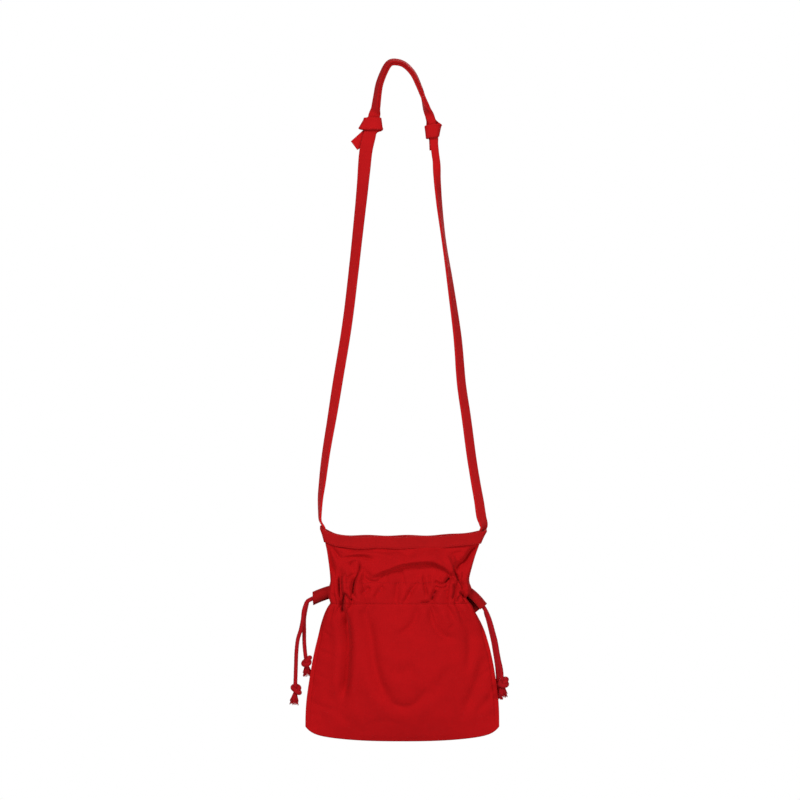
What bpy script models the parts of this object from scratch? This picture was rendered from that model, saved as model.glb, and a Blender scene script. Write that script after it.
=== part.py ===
"""Drawstring pouch on a knotted shoulder strap, as it hangs by the middle of its strap.

World frame, in metres. The origin is the underside of the strap's arch, where a hook or a
shoulder carries it. +Z is up, -Y is the front of the pouch and +X is the right seen from the front.

Every sewn piece is a sheet: a grid whose columns and rows are placed on the piece's middle
surface, given the cloth's thickness by Solidify. The neck is gathered on two drawcords, which
run inside a casing and leave through a sleeve at each side. The two halves of the strap lie on
each other in the arch, and the end of each is knotted round the other, so that they slide.
"""

import math

import bmesh
import bpy
from mathutils import Vector

# Pouch
BAG_WIDTH = 0.223  # across the body, below the gathers
BAG_HEIGHT = 0.236  # from the bottom seam to the mouth's edge
NECK_WIDTH = 0.158  # across the drawn-in casing
MOUTH_WIDTH = 0.186
CASING_FROM_BOTTOM = 0.158
CASING_HEIGHT = 0.027
BELLY_DEPTH = 0.044  # front to back where the body is fullest
NECK_DEPTH = 0.038
MOUTH_DEPTH = 0.031
CLOTH = 0.0008
SEAM_FLANGE = 0.0044  # the flat edge outside the seams of the body
BOTTOM_LIFT = 0.009  # how far the bottom seam bows up to the corners
CORNER_ROUNDING = 0.008
MOUTH_CORNER_LIFT = 0.008
POUCH_OFFSET = 0.0084  # the pouch hangs this far to the right of the origin
NECK_OFFSET = 0.0052
MOUTH_OFFSET = 0.0105
MOUTH_FLARE = 0.0025  # the stiff binding springs out at the corners
STRAP_DROP = 0.5405  # from the origin down to the middle of the mouth's edge

# Gathers and folds
GATHER_RUN_DOWN = 0.060  # how far the gathers run out into the body
GATHER_RUN_UP = 0.020
CREASE_DEPTH = 0.0065  # how far the slack collar bulges out over its crease
CREASE_DROOP = 0.0022

# Tapes and cords
TAPE_WIDTH = 0.015
TAPE_THICKNESS = 0.0024  # a twill tape folded in two and stitched
BINDING_HEIGHT = 0.0135
BINDING_THICKNESS = 0.001
STRAP_ROOT = 0.018  # how far the strap's end is sewn down inside the mouth
CORD_DIAMETER = 0.0045
CORD_ROOM = 0.0008  # play of a cord in its casing
KNOT_RADIUS = 0.0050
TAIL_LENGTH = 0.0095  # cord left beyond its knot
SLEEVE_WALL = 0.0011
LEFT_SLEEVE_LENGTH = 0.027
RIGHT_SLEEVE_LENGTH = 0.027
LEFT_SLEEVE_DROOP = math.radians(22)
RIGHT_SLEEVE_DROOP = math.radians(48)
GAP = 0.0003  # between pieces that touch
BINDING_GAP = 0.0004

# What follows from them
FRONT, BACK = -1, 1
BAG_HALF = BAG_WIDTH / 2
NECK_HALF = NECK_WIDTH / 2
MOUTH_HALF = MOUTH_WIDTH / 2
MOUTH_Z = -STRAP_DROP
BOTTOM_Z = MOUTH_Z - BAG_HEIGHT
CASING_TOP = CASING_FROM_BOTTOM + CASING_HEIGHT
CASING_MIDDLE = CASING_FROM_BOTTOM + CASING_HEIGHT / 2
COLLAR_HEIGHT = BAG_HEIGHT - CASING_TOP
CORD_RADIUS = CORD_DIAMETER / 2
CORD_LEVEL = CORD_RADIUS + GAP + 0.0002  # the two cords lie this far above and below the middle
CASING_ROOM = CLOTH / 2 + CORD_ROOM + CORD_DIAMETER + CORD_ROOM + CLOTH / 2
SEAM_HALF = (CLOTH + GAP) / 2  # from the seam's plane to the middle of each panel
BINDING_OFFSET = CLOTH / 2 + BINDING_GAP + BINDING_THICKNESS / 2
PANEL_TOP = BAG_HEIGHT - BINDING_THICKNESS - GAP
BINDING_LOW = PANEL_TOP + BINDING_THICKNESS + GAP - BINDING_HEIGHT
BINDING_SHARE = (BINDING_LOW - CASING_TOP) / (PANEL_TOP - CASING_TOP)  # up the collar
SIDE_HALF = TAPE_WIDTH / 2 + 2 * GAP + BINDING_OFFSET + BINDING_THICKNESS / 2
SLEEVE_BORE_DEPTH = CORD_DIAMETER + 0.0016
SLEEVE_BORE_HEIGHT = CORD_RADIUS + 0.0032
SLEEVE_HALF_DEPTH = SLEEVE_BORE_DEPTH + SLEEVE_WALL
SLEEVE_HALF_HEIGHT = SLEEVE_BORE_HEIGHT + SLEEVE_WALL
FACE_SHARE = 1 - SEAM_FLANGE / BAG_HALF  # the share of each column range that is the panel's face
PITCH = TAPE_THICKNESS + GAP + 0.0001  # from one layer of tape to the next in a knot

# The gathers of each panel: where the valleys between them lie across the neck, and how far
# each one stands out, from the left side to the right.
FRONT_VALLEYS = (-FACE_SHARE, -0.88, -0.82, -0.675, -0.49, -0.27, -0.04, 0.165, 0.385, 0.5, 0.675, 0.785, 0.885, FACE_SHARE)
FRONT_RIDGES = (0.0020, 0.0022, 0.0062, 0.0052, 0.0032, 0.0026, 0.0026, 0.0028, 0.0024, 0.0044, 0.0052, 0.0046, 0.0022)
BACK_VALLEYS = (-FACE_SHARE, -0.85, -0.70, -0.50, -0.24, 0.02, 0.26, 0.47, 0.66, 0.78, 0.88, FACE_SHARE)
BACK_RIDGES = (0.0030, 0.0050, 0.0046, 0.0034, 0.0028, 0.0028, 0.0032, 0.0044, 0.0050, 0.0040, 0.0022)

# The slack collar's crease at the front: its height as a share of the collar, across the neck,
# and how strongly the cloth above it bulges.
CREASE_HEIGHT = ((-1, 0.08), (-0.6, 0.06), (-0.39, 0.08), (-0.2, 0.16), (0, 0.29), (0.22, 0.39),
                 (0.44, 0.43), (0.6, 0.38), (0.735, 0.19), (0.82, 0.09), (1, 0.08))
CREASE_STRENGTH = ((-1, 0), (-0.62, 0.2), (-0.3, 0.7), (0, 1), (0.3, 1), (0.6, 0.9), (0.82, 0.2), (1, 0))

# Soft folds of the body: points across the half width and up to the casing, half width, depth.
FRONT_FOLDS = (
    (((-0.77, 0.93), (-0.62, 0.75), (-0.59, 0.59), (-0.61, 0.38)), 0.0075, 0.0036),
    (((-0.50, 0.96), (-0.30, 0.70), (-0.25, 0.49), (-0.15, 0.33), (-0.02, 0.25), (0.13, 0.30), (0.25, 0.38)),
     0.0075, 0.0020),
    (((0.20, 0.98), (0.17, 0.88), (0.08, 0.81), (-0.06, 0.75)), 0.0060, 0.0018),
    (((0.86, 0.80), (0.83, 0.59), (0.77, 0.43)), 0.0090, 0.0024),
)
BACK_FOLDS = (
    (((0.70, 0.94), (0.58, 0.72), (0.55, 0.45)), 0.0080, 0.0034),
    (((-0.42, 0.96), (-0.28, 0.66), (-0.08, 0.40), (0.14, 0.36), (0.30, 0.48)), 0.0080, 0.0022),
    (((-0.82, 0.84), (-0.78, 0.58), (-0.70, 0.42)), 0.0090, 0.0026),
)

# The strap below the knots: sway from the straight line, in metres, and turn of its face away
# from the front, in degrees, along the way from the knot (0) to the mouth's corner (1).
LEFT_SWAY = ((0, 0.0006), (0.14, 0.0022), (0.25, 0.0028), (0.40, 0.0034), (0.5, 0.0028), (0.62, 0.0006),
             (0.73, -0.0013), (0.84, -0.0034), (0.9, -0.0046), (0.95, -0.0043), (1, 0))
LEFT_TURN = ((0, 0), (0.06, 22), (0.14, 34), (0.3, 43), (0.66, 45), (0.77, 54), (0.87, 62), (0.94, 76), (1, 90))
RIGHT_SWAY = ((0, 0.0002), (0.06, -0.0018), (0.17, -0.0034), (0.34, -0.0024), (0.5, -0.0023), (0.62, -0.0048),
              (0.72, -0.0044), (0.84, -0.0043), (0.9, -0.0042), (0.95, -0.0026), (1, 0))
RIGHT_TURN = ((0, 0), (0.03, 34), (0.09, 62), (0.2, 76), (0.26, 75), (0.35, 66), (0.5, 55), (0.7, 48), (0.9, 50),
              (0.96, 66), (1, 90))

# The arch between the knots: its underside, and the turn of the pair of tapes, in degrees, from
# face to the front at the left knot to face to the back at the right knot.
ARCH = ((-0.0222, -0.0534, 52), (-0.0203, -0.0396, 62), (-0.0180, -0.0258, 65), (-0.0128, -0.0118, 66),
        (-0.0070, -0.0022, 67), (0.0, 0.0, 68), (0.0106, -0.0030, 72), (0.0205, -0.0130, 76),
        (0.0270, -0.0264, 80), (0.0321, -0.0398, 87), (0.0364, -0.0534, 110))
ARCH_CROWN_TURN = math.radians(68)
ARCH_TAPE_WIDTH = 0.012  # the tape curls in the arch
CORNER_RISE = 0.0126  # from the end of the sewn root up to where the strap hangs clear of the mouth's corner
LEFT_CORNER_OUT = 0.0050
RIGHT_CORNER_OUT = 0.0016
LEFT_KNOT = Vector((-0.0262, 0, -0.0667))
LEFT_KNOT_LEAN = math.radians(13.5)
RIGHT_KNOT = Vector((0.0434, 0, -0.0748))
RIGHT_KNOT_LEAN = math.radians(-6.5)

CLOTH_RED = (0.47, 0.008, 0.012)
TAPE_RED = (0.45, 0.012, 0.018)
CORD_RED = (0.36, 0.008, 0.014)


def ease(t):
    """0 before 0 and 1 after 1, with a smooth run between."""
    t = min(max(t, 0.0), 1.0)
    return t * t * (3 - 2 * t)


def mix(a, b, t):
    return a + (b - a) * t


def through(knots, t):
    """The value at t of a smooth curve through (t, value) knots."""
    if t <= knots[0][0]:
        return knots[0][1]
    if t >= knots[-1][0]:
        return knots[-1][1]
    k = max(i for i in range(len(knots) - 1) if knots[i][0] <= t)

    def slope(i):
        before, after = max(i - 1, 0), min(i + 1, len(knots) - 1)
        return (knots[after][1] - knots[before][1]) / (knots[after][0] - knots[before][0])

    (t0, v0), (t1, v1) = knots[k], knots[k + 1]
    span = t1 - t0
    s = (t - t0) / span
    return (v0 * (1 + 2 * s) * (1 - s) ** 2 + span * slope(k) * s * (1 - s) ** 2
            + v1 * s * s * (3 - 2 * s) + span * slope(k + 1) * s * s * (s - 1))


def spaced(first, last, steps):
    """steps + 1 even values from first to last."""
    return [mix(first, last, i / steps) for i in range(steps + 1)]


# The pouch's surface: u runs across a panel from -1 to 1, and h up from the bottom seam.

def openness(h):
    """0 in the body, whose side seams are flat, to 1 where the sides stand apart, in the neck and collar."""
    return ease((h / CASING_FROM_BOTTOM - 0.72) / 0.26)


def half_width(h):
    if h < CASING_FROM_BOTTOM:
        return NECK_HALF + (BAG_HALF - NECK_HALF) * (1 - (h / CASING_FROM_BOTTOM) ** 2.2) ** 0.75
    up = max(0.0, (h - CASING_TOP) / COLLAR_HEIGHT)
    return NECK_HALF + (MOUTH_HALF - NECK_HALF - MOUTH_FLARE) * up ** 1.2 + MOUTH_FLARE * up ** 6


def centre_x(h):
    """The pouch sways a little from side to side as it hangs."""
    return through(((0, POUCH_OFFSET), (0.75 * CASING_FROM_BOTTOM, POUCH_OFFSET), (CASING_FROM_BOTTOM, NECK_OFFSET),
                    (CASING_TOP, NECK_OFFSET), (BAG_HEIGHT, MOUTH_OFFSET)), h)


def half_depth(h):
    """From the middle of the pouch to the panel's valleys."""
    t = h / CASING_FROM_BOTTOM
    if t < 1:
        share = through(((0, 0), (0.05, 0.20), (0.2, 0.62), (0.45, 0.96), (0.65, 1), (1, NECK_DEPTH / BELLY_DEPTH)), t)
        return max(SEAM_HALF, share * BELLY_DEPTH / 2)
    return mix(NECK_DEPTH, MOUTH_DEPTH, ease((h - CASING_TOP) / COLLAR_HEIGHT)) / 2


def side_opening(h):
    """1 at the sleeve, where the side seam is left open, and 0 away from it."""
    away = abs(h - CASING_MIDDLE) - SLEEVE_HALF_HEIGHT
    return 1 - ease(away / (CASING_HEIGHT / 2 - SLEEVE_HALF_HEIGHT + 0.004))


def height_z(u, h):
    bottom = (BOTTOM_LIFT * abs(u) ** 2.6 + CORNER_ROUNDING * abs(u) ** 16) * (1 - ease(h / (0.5 * CASING_FROM_BOTTOM)))
    mouth = MOUTH_CORNER_LIFT * abs(u) ** (7 if u < 0 else 3) * ease((h - CASING_TOP) / COLLAR_HEIGHT)
    return BOTTOM_Z + h + bottom + mouth


def base_point(side, u, h):
    """The panel's middle surface through the bottoms of its gathers."""
    face = min(abs(u) / FACE_SHARE, 1.0)
    turned = max(0.0, (abs(u) - FACE_SHARE) / (1 - FACE_SHARE))
    wide = openness(h)
    x = half_width(h) * mix(abs(u), face, wide)
    side_depth = mix(SEAM_HALF, SIDE_HALF, wide)
    edge_depth = mix(mix(SEAM_HALF, GAP / 2, wide), SLEEVE_HALF_DEPTH + GAP + CLOTH / 2, side_opening(h))
    crown = (1 - face ** mix(2.1, 2.6, wide)) ** mix(0.85, 0.75, wide)
    y = mix(side_depth, max(side_depth, half_depth(h)), crown)
    if turned > 0:
        y = mix(side_depth, edge_depth, turned)
    return Vector((centre_x(h) + math.copysign(x, u), side * y, height_z(u, h)))


def gather(side, u, h):
    """How far the gathered cloth stands out from the base surface."""
    if abs(u) >= FACE_SHARE:
        return 0.0
    valleys, ridges = (FRONT_VALLEYS, FRONT_RIDGES) if side == FRONT else (BACK_VALLEYS, BACK_RIDGES)
    k = max(i for i in range(len(ridges)) if valleys[i] <= u + 1e-9)
    ridge = ridges[k] * math.sin(math.pi * (u - valleys[k]) / (valleys[k + 1] - valleys[k])) ** 2
    if h < CASING_FROM_BOTTOM:
        run = (1 - ease((CASING_FROM_BOTTOM - h) / GATHER_RUN_DOWN)) ** 1.5
    elif h > CASING_TOP:
        run = 1 - ease((h - CASING_TOP) / GATHER_RUN_UP)
    else:
        run = 1 + 0.25 * math.sin(math.pi * (h - CASING_FROM_BOTTOM) / CASING_HEIGHT)
    return ridge * run


def fold(side, u, h):
    """How deep the body's soft folds are at a place."""
    depth = 0.0
    for points, width, most in FRONT_FOLDS if side == FRONT else BACK_FOLDS:
        route = [Vector((across * half_width(up * CASING_FROM_BOTTOM), up * CASING_FROM_BOTTOM))
                 for across, up in points]
        here = Vector((u * half_width(h), h))
        nearest = math.inf
        for a, b in zip(route, route[1:]):
            along = min(max((here - a).dot(b - a) / (b - a).length_squared, 0.0), 1.0)
            nearest = min(nearest, (here - a - along * (b - a)).length)
        depth += most * math.exp(-(nearest / width) ** 2)
    inside = 1 - ease((abs(u) - 0.88) / 0.1)
    return depth * inside * (1 - ease((h - 0.9 * CASING_FROM_BOTTOM) / (0.1 * CASING_FROM_BOTTOM)))


def panel_point(side, u, h):
    point = base_point(side, u, h)
    point.y += side * (gather(side, u, h) - fold(side, u, h))
    return point


def collar_point(side, u, t):
    """A panel's point at the share t of the way from the casing to the top of the panel. The front's
    rows bend round the crease, where the slack cloth above hangs over it."""
    if side == BACK:
        return panel_point(side, u, mix(CASING_TOP, PANEL_TOP, t))
    crease = through(CREASE_HEIGHT, u) * COLLAR_HEIGHT
    strength = through(CREASE_STRENGTH, u)
    below, above = 0.3, 0.42
    lip = crease + 0.003
    height = PANEL_TOP - CASING_TOP
    if t < below:
        rise = crease * t / below
    elif t < above:
        rise = mix(crease, lip, (t - below) / (above - below))
    elif t < BINDING_SHARE:
        rise = mix(lip, BINDING_LOW - CASING_TOP, (t - above) / (BINDING_SHARE - above))
    else:
        rise = t * height
    bulge = strength * (ease((t - below) / (above - below)) - ease((t - above) / (BINDING_SHARE - above)))
    point = panel_point(side, u, CASING_TOP + rise)
    return point + Vector((0, side * CREASE_DEPTH * bulge, -CREASE_DROOP * bulge))


def way_out(side, columns, i, h):
    """The level way out of a panel at its column i, mitred so that a unit of it clears both neighbours by a unit."""
    ways = []
    for j in (i - 1, i):
        if 0 <= j < len(columns) - 1:
            run = base_point(side, columns[j + 1], h) - base_point(side, columns[j], h)
            ways.append(Vector((run.y, -run.x, 0)).normalized() * -side)
    return ways[0] if len(ways) == 1 else (ways[0] + ways[1]) / (1 + ways[0].dot(ways[1]))


# Materials and meshes

def material(name, colour, roughness):
    made = bpy.data.materials.new(name)
    made.use_nodes = True
    shader = made.node_tree.nodes["Principled BSDF"]
    shader.inputs["Base Color"].default_value = (*colour, 1)
    shader.inputs["Roughness"].default_value = roughness
    return made


def sheet(name, columns, rows, place, thickness, finish, collection):
    """A grid with one vertex for each column and row, where place(column, row) puts it, thickened evenly."""
    mesh = bpy.data.meshes.new(name)
    grid = bmesh.new()
    bmesh.ops.create_grid(grid, x_segments=len(columns) - 1, y_segments=len(rows) - 1, size=1)
    for vertex in grid.verts:
        column = round((vertex.co.x + 1) / 2 * (len(columns) - 1))
        row = round((vertex.co.y + 1) / 2 * (len(rows) - 1))
        vertex.co = place(columns[column], rows[row])
    grid.to_mesh(mesh)
    grid.free()
    mesh.shade_smooth()
    piece = bpy.data.objects.new(name, mesh)
    mesh.materials.append(finish)
    collection.objects.link(piece)
    solidify = piece.modifiers.new("Cloth thickness", "SOLIDIFY")
    solidify.thickness = thickness
    solidify.offset = 0
    solidify.use_even_offset = True
    solidify.use_quality_normals = True
    return piece


def fold_columns(side, flanks=True):
    """A column in each valley and on each ridge, two more on the flanks of a wide one, and the side's turned edge."""
    valleys = FRONT_VALLEYS if side == FRONT else BACK_VALLEYS
    columns = set(valleys)
    for a, b in zip(valleys, valleys[1:]):
        columns.add((a + b) / 2)
        if flanks and b - a > 0.17:
            columns.update((a + (b - a) / 4, b - (b - a) / 4))
    return [-1, *sorted(columns), 1]


def make_panel(name, side, body_steps, collar_steps, finish, collection):
    body = [("h", h) for h in (0, 0.0035, 0.010)]
    body += [("h", h) for h in spaced(0.022, CASING_FROM_BOTTOM - 0.006, body_steps)]
    casing = [("h", h) for h in spaced(CASING_FROM_BOTTOM, CASING_TOP, 4)][:-1]
    collar = [("t", t) for t in collar_steps]

    def place(u, row):
        kind, value = row
        return panel_point(side, u, value) if kind == "h" else collar_point(side, u, value)

    return sheet(name, fold_columns(side), body + casing + collar, place, CLOTH, finish, collection)


def make_casing(name, side, finish, collection):
    """The strip inside the neck, stitched above and below, that the cords run behind."""
    flat, full = CLOTH + GAP, CASING_ROOM
    cords = (2 * CORD_LEVEL + CORD_RADIUS + GAP) / CASING_HEIGHT
    rows = ((0.01, flat), (0.08, flat), (0.5 - cords, full), (0.5 + cords, full), (0.92, flat), (0.99, flat))
    reach = 1 - 0.020 / NECK_HALF

    def place(u, row):
        share, inset = row
        point = base_point(side, u, mix(CASING_FROM_BOTTOM, CASING_TOP, share))
        point.y -= side * inset
        return point

    return sheet(name, spaced(-reach, reach, 12), rows, place, CLOTH, finish, collection)


def make_binding(name, side, finish, collection):
    """The twill tape folded over the mouth's edge."""
    crown = BINDING_GAP + BINDING_THICKNESS / 2
    section = ((BINDING_OFFSET, BINDING_LOW, 0), (BINDING_OFFSET, PANEL_TOP, 0), (BINDING_OFFSET * 0.6, PANEL_TOP, crown),
               (-BINDING_OFFSET * 0.6, PANEL_TOP, crown), (-BINDING_OFFSET, PANEL_TOP, 0),
               (-BINDING_OFFSET, BINDING_LOW, 0))
    columns = fold_columns(side, flanks=False)

    def place(i, corner):
        offset, h, rise = corner
        return base_point(side, columns[i], h) + way_out(side, columns, i, h) * offset + Vector((0, 0, rise))

    return sheet(name, range(len(columns)), section, place, BINDING_THICKNESS, finish, collection)


# Straps

def upright(lean):
    """The right and up directions of a knot that leans to the right."""
    return Vector((math.cos(lean), 0, -math.sin(lean))), Vector((math.sin(lean), 0, math.cos(lean)))


def hanging_stretch(knot_point, corner, sway, turn, outer, width):
    """Stations down a strap from below its knot to the mouth's corner: centre, across, width."""
    stations = []
    for t in spaced(0, 1, 24):
        centre = knot_point.lerp(corner, t) + Vector((through(sway, t), 0, 0))
        angle = math.radians(through(turn, t))
        stations.append((centre, Vector((math.cos(angle), outer * math.sin(angle), 0)), mix(width, TAPE_WIDTH, ease(t * 7))))
    return stations


def arch_stations(layer):
    """Stations along the arch from left to right, for the outer (1) or inner (-1) layer of tape."""
    lift = (PITCH + TAPE_THICKNESS) / 2 * math.sin(ARCH_CROWN_TURN) + ARCH_TAPE_WIDTH / 2 * math.cos(ARCH_CROWN_TURN)
    line = [Vector((x, 0, z + lift)) for x, z, _ in ARCH]
    knots = [[(i, p[k]) for i, p in enumerate(line)] for k in (0, 2)]
    turns = [(i, math.radians(turn)) for i, (_, _, turn) in enumerate(ARCH)]
    stations = []
    for s in spaced(0, len(ARCH) - 1, 3 * (len(ARCH) - 1)):
        here = Vector((through(knots[0], s), 0, through(knots[1], s)))
        ahead = Vector((through(knots[0], s + 0.05), 0, through(knots[1], s + 0.05)))
        behind = Vector((through(knots[0], s - 0.05), 0, through(knots[1], s - 0.05)))
        along = (ahead - behind).normalized()
        radial = Vector((-along.z, 0, along.x))
        turn = through(turns, s)
        face = Vector((0, -math.cos(turn), 0)) + radial * math.sin(turn)
        stations.append((here + face * layer * PITCH / 2, along.cross(face), ARCH_TAPE_WIDTH))
    return stations


def edged(one, other, y):
    """A station of a knot from its tape's two edges, each across and up, in one plane."""
    (x1, z1), (x2, z2) = one, other
    across = Vector((x1 - x2, 0, z1 - z2))
    return ((x1 + x2) / 2, y, (z1 + z2) / 2), across, across.length


def around(side_x, centre_y, radius, from_back, levels, slant, width):
    """Half a turn of tape round the edge of the other one, from its back to its front or the other
    way. slant leans the tape at the middle of the turn."""
    stations = []
    for i, z in enumerate(levels):
        angle = math.pi * i / (len(levels) - 1)
        x = side_x + math.copysign(radius * math.sin(angle), side_x)
        y = centre_y + (radius if from_back else -radius) * math.cos(angle)
        stations.append(((x, y, z), Vector((slant * math.sin(angle), 0, 1)), width))
    return stations


def placed(knot, lean, stations, flip):
    """Stations of a knot from its own frame to the world. flip keeps the tape from turning over where it joins."""
    right, up = upright(lean)
    made = []
    for (x, y, z), across, width in stations:
        centre = knot + right * x + Vector((0, y, 0)) + up * z
        made.append((centre, (right * across.x + up * across.z).normalized() * flip, width))
    return made


def left_knot():
    """The end of the right strap, tied round the left one: down behind it, round its left edge,
    across the front, round its right edge, and out behind to the lower left."""
    half, band = 0.0072, 0.0125
    return placed(LEFT_KNOT, LEFT_KNOT_LEAN, [
        edged((-0.0050, 0.0106), (0.0066, 0.0086), 2 * PITCH),
        edged((-0.0056, 0.0093), (0.0056, 0.0012), 2 * PITCH),
        edged((-0.0062, 0.0080), (0.0010, -0.0048), 2 * PITCH),
        edged((-0.0068, 0.0066), (-0.0040, -0.0072), 2 * PITCH),
        *around(-half, PITCH / 2, 1.5 * PITCH, True, (-0.0010, -0.0012, -0.0013, -0.0012, -0.0009, -0.0005, 0), 0.38, band),
        ((0, -PITCH - 0.0003, 0.0004), Vector((0, 0, 1)), band),
        *around(half, 0, PITCH, False, (0.0008, 0.0008, 0.0004, -0.0002, -0.0008), 0, band),
        edged((0.0038, 0.0050), (0.0068, -0.0080), PITCH),
        edged((-0.0022, 0.0020), (0.0060, -0.0104), PITCH),
        edged((-0.0068, -0.0060), (0.0046, -0.0142), PITCH),
        edged((-0.0138, -0.0168), (-0.0012, -0.0250), PITCH),
        edged((-0.0202, -0.0262), (-0.0074, -0.0346), PITCH),
    ], -1)


def right_knot():
    """The end of the left strap, tied round the right one as in the left knot but mirrored, and out
    behind it downwards."""
    half, band = 0.0048, 0.0150
    return placed(RIGHT_KNOT, RIGHT_KNOT_LEAN, [
        edged((0.0042, 0.0136), (-0.0060, 0.0126), 2 * PITCH),
        edged((0.0044, 0.0120), (-0.0056, 0.0045), 2 * PITCH),
        edged((0.0046, 0.0105), (-0.0024, -0.0030), 2 * PITCH),
        edged((0.0049, 0.0093), (0.0020, -0.0062), 2 * PITCH),
        *around(half, PITCH / 2, 1.5 * PITCH, True, (0.0010, 0.0010, 0.0008, 0.0006, 0.0002, 0, 0), -0.25, band),
        ((0, -PITCH - 0.0003, -0.0002), Vector((0, 0, 1)), band),
        *around(-half, 0, PITCH, False, (-0.0002, -0.0004, -0.0006, -0.0008, -0.0010), 0, band),
        edged((-0.0020, 0.0058), (-0.0044, -0.0088), PITCH),
        edged((0.0028, 0.0020), (-0.0042, -0.0100), PITCH),
        edged((0.0048, -0.0062), (-0.0048, -0.0116), PITCH),
        edged((0.0048, -0.0130), (-0.0056, -0.0142), PITCH),
        edged((0.0044, -0.0215), (-0.0062, -0.0220), PITCH),
    ], 1)


def strap_root(side_sign):
    """The stretch sewn down inside the mouth's corner, from its lower end up, and then out over the binding."""
    inside = BINDING_OFFSET + BINDING_THICKNESS / 2 + 2 * GAP + TAPE_THICKNESS / 2
    points = []
    for h in (BAG_HEIGHT - STRAP_ROOT, BINDING_LOW, PANEL_TOP):
        points.append(Vector((centre_x(h) + side_sign * (half_width(h) - inside), 0, height_z(side_sign, h))))
    return points + [points[-1] + Vector((side_sign * 0.0008, 0, 0.0032))]


def ribbon(name, stations, finish, collection):
    """A tape through stations of centre, across direction and width."""
    def place(s, row):
        centre, across, width = row
        return centre + across * (s * width / 2)

    return sheet(name, (-1, 0, 1), stations, place, TAPE_THICKNESS, finish, collection)


def make_strap(name, side_sign, corner_out, knot, lean, sway, turn, top, widths, arch, end_knot, finish, collection):
    """One half of the strap, from inside its corner of the mouth up through the knot in the other's
    end, over the arch, and down to its own knot round the other half. It lies flat up to top over
    the knot's middle."""
    root = strap_root(side_sign)
    right, up = upright(lean)
    stations = [(point, Vector((0, side_sign, 0)), TAPE_WIDTH) for point in root]
    corner = root[-1] + Vector((side_sign * corner_out, 0, CORNER_RISE))
    hanging = hanging_stretch(knot - up * 0.036, corner, sway, turn, side_sign, widths[0])
    stations += hanging[::-1]
    stations += [(knot + up * z, right, width) for z, width in zip((-0.027, -0.018, -0.009, 0, top), widths)]
    return ribbon(name, stations + arch + end_knot, finish, collection)


# Drawcords and their sleeves

def sleeve_line(side_sign, length, droop):
    """The sleeve's middle line, from just inside the side seam out to its mouth."""
    root = Vector((NECK_OFFSET + side_sign * NECK_HALF, 0, height_z(1, CASING_MIDDLE)))
    points = [root - Vector((side_sign * 0.0015, 0, 0)), root + Vector((side_sign * 0.0015, 0, -0.0002))]
    start = points[-1]
    for share in (0.25, 0.5, 0.75, 1):
        angle = droop * min(1.0, 0.55 + share * 0.6)
        points.append(start + Vector((side_sign * math.cos(angle), 0, -math.sin(angle))) * (length * share))
    return points


def frame_along(points, i):
    along = (points[min(i + 1, len(points) - 1)] - points[max(i - 1, 0)]).normalized()
    return along, along.cross(Vector((0, 1, 0)))


def make_sleeve(name, side_sign, length, droop, finish, collection):
    """A strip of cloth rolled into a tube, with its seam along the underside."""
    points = sleeve_line(side_sign, length, droop)
    seam = math.asin(GAP / SLEEVE_HALF_DEPTH)

    def place(angle, i):
        _, up = frame_along(points, i)
        up = up if up.z > 0 else -up
        depth = SLEEVE_BORE_DEPTH + SLEEVE_WALL / 2
        height = SLEEVE_BORE_HEIGHT + SLEEVE_WALL / 2
        return points[i] + Vector((0, -depth * math.sin(angle), 0)) - up * (height * math.cos(angle))

    angles = spaced(seam, 2 * math.pi - seam, 12)
    return sheet(name, angles, range(len(points)), place, SLEEVE_WALL, finish, collection)


def knotted_end(route):
    """The end of a route with its knot: (point, radius share) down to the cut end."""
    end, back = route[-1], route[-2]
    along = (end - back).normalized()
    swell = KNOT_RADIUS / CORD_RADIUS
    steps = ((0.25, 1.0), (0.45, 0.62 * swell), (0.75, 0.92 * swell), (1.0, swell), (1.25, 0.92 * swell),
             (1.55, 0.62 * swell), (1.75, 1.0))
    knot = [(end + along * KNOT_RADIUS * share, size) for share, size in steps]
    tail = [(knot[-1][0] + along * TAIL_LENGTH * share, size) for share, size in ((0.5, 1.0), (1.0, 1.25))]
    return knot + tail


def smooth_route(points, step):
    """Points about a step apart along a smooth curve through the given ones."""
    length = [0.0]
    for a, b in zip(points, points[1:]):
        length.append(length[-1] + (b - a).length)
    knots = [[(d, p[k]) for d, p in zip(length, points)] for k in range(3)]
    return [Vector([through(knots[k], d) for k in range(3)]) for d in spaced(0, length[-1], round(length[-1] / step))]


# Free ends of the cords, chosen by hand: across, depth and height in metres from the sleeve's mouth.
LEFT_OUTER_END = ((-0.0025, -0.0028, -0.0045), (-0.0046, -0.0031, -0.0117), (-0.0056, -0.0032, -0.0209),
                  (-0.0078, -0.0032, -0.0320), (-0.0113, -0.0030, -0.0440), (-0.0129, -0.0026, -0.0580),
                  (-0.0136, -0.0022, -0.0750), (-0.0142, -0.0020, -0.0950))
LEFT_INNER_END = ((-0.0024, 0.0028, -0.0036), (-0.0040, 0.0032, -0.0112), (-0.0042, 0.0034, -0.0209),
                  (-0.0042, 0.0034, -0.0340), (-0.0041, 0.0034, -0.0480), (-0.0034, 0.0034, -0.0570),
                  (-0.0022, 0.0036, -0.0640))
RIGHT_FRONT_END = ((0.0022, -0.0030, -0.0042), (0.0046, -0.0036, -0.0100), (0.0067, -0.0040, -0.0165),
                   (0.0090, -0.0044, -0.0250), (0.0119, -0.0048, -0.0360), (0.0138, -0.0050, -0.0470),
                   (0.0156, -0.0054, -0.0570), (0.0180, -0.0058, -0.0680), (0.0190, -0.0060, -0.0765))
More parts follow.
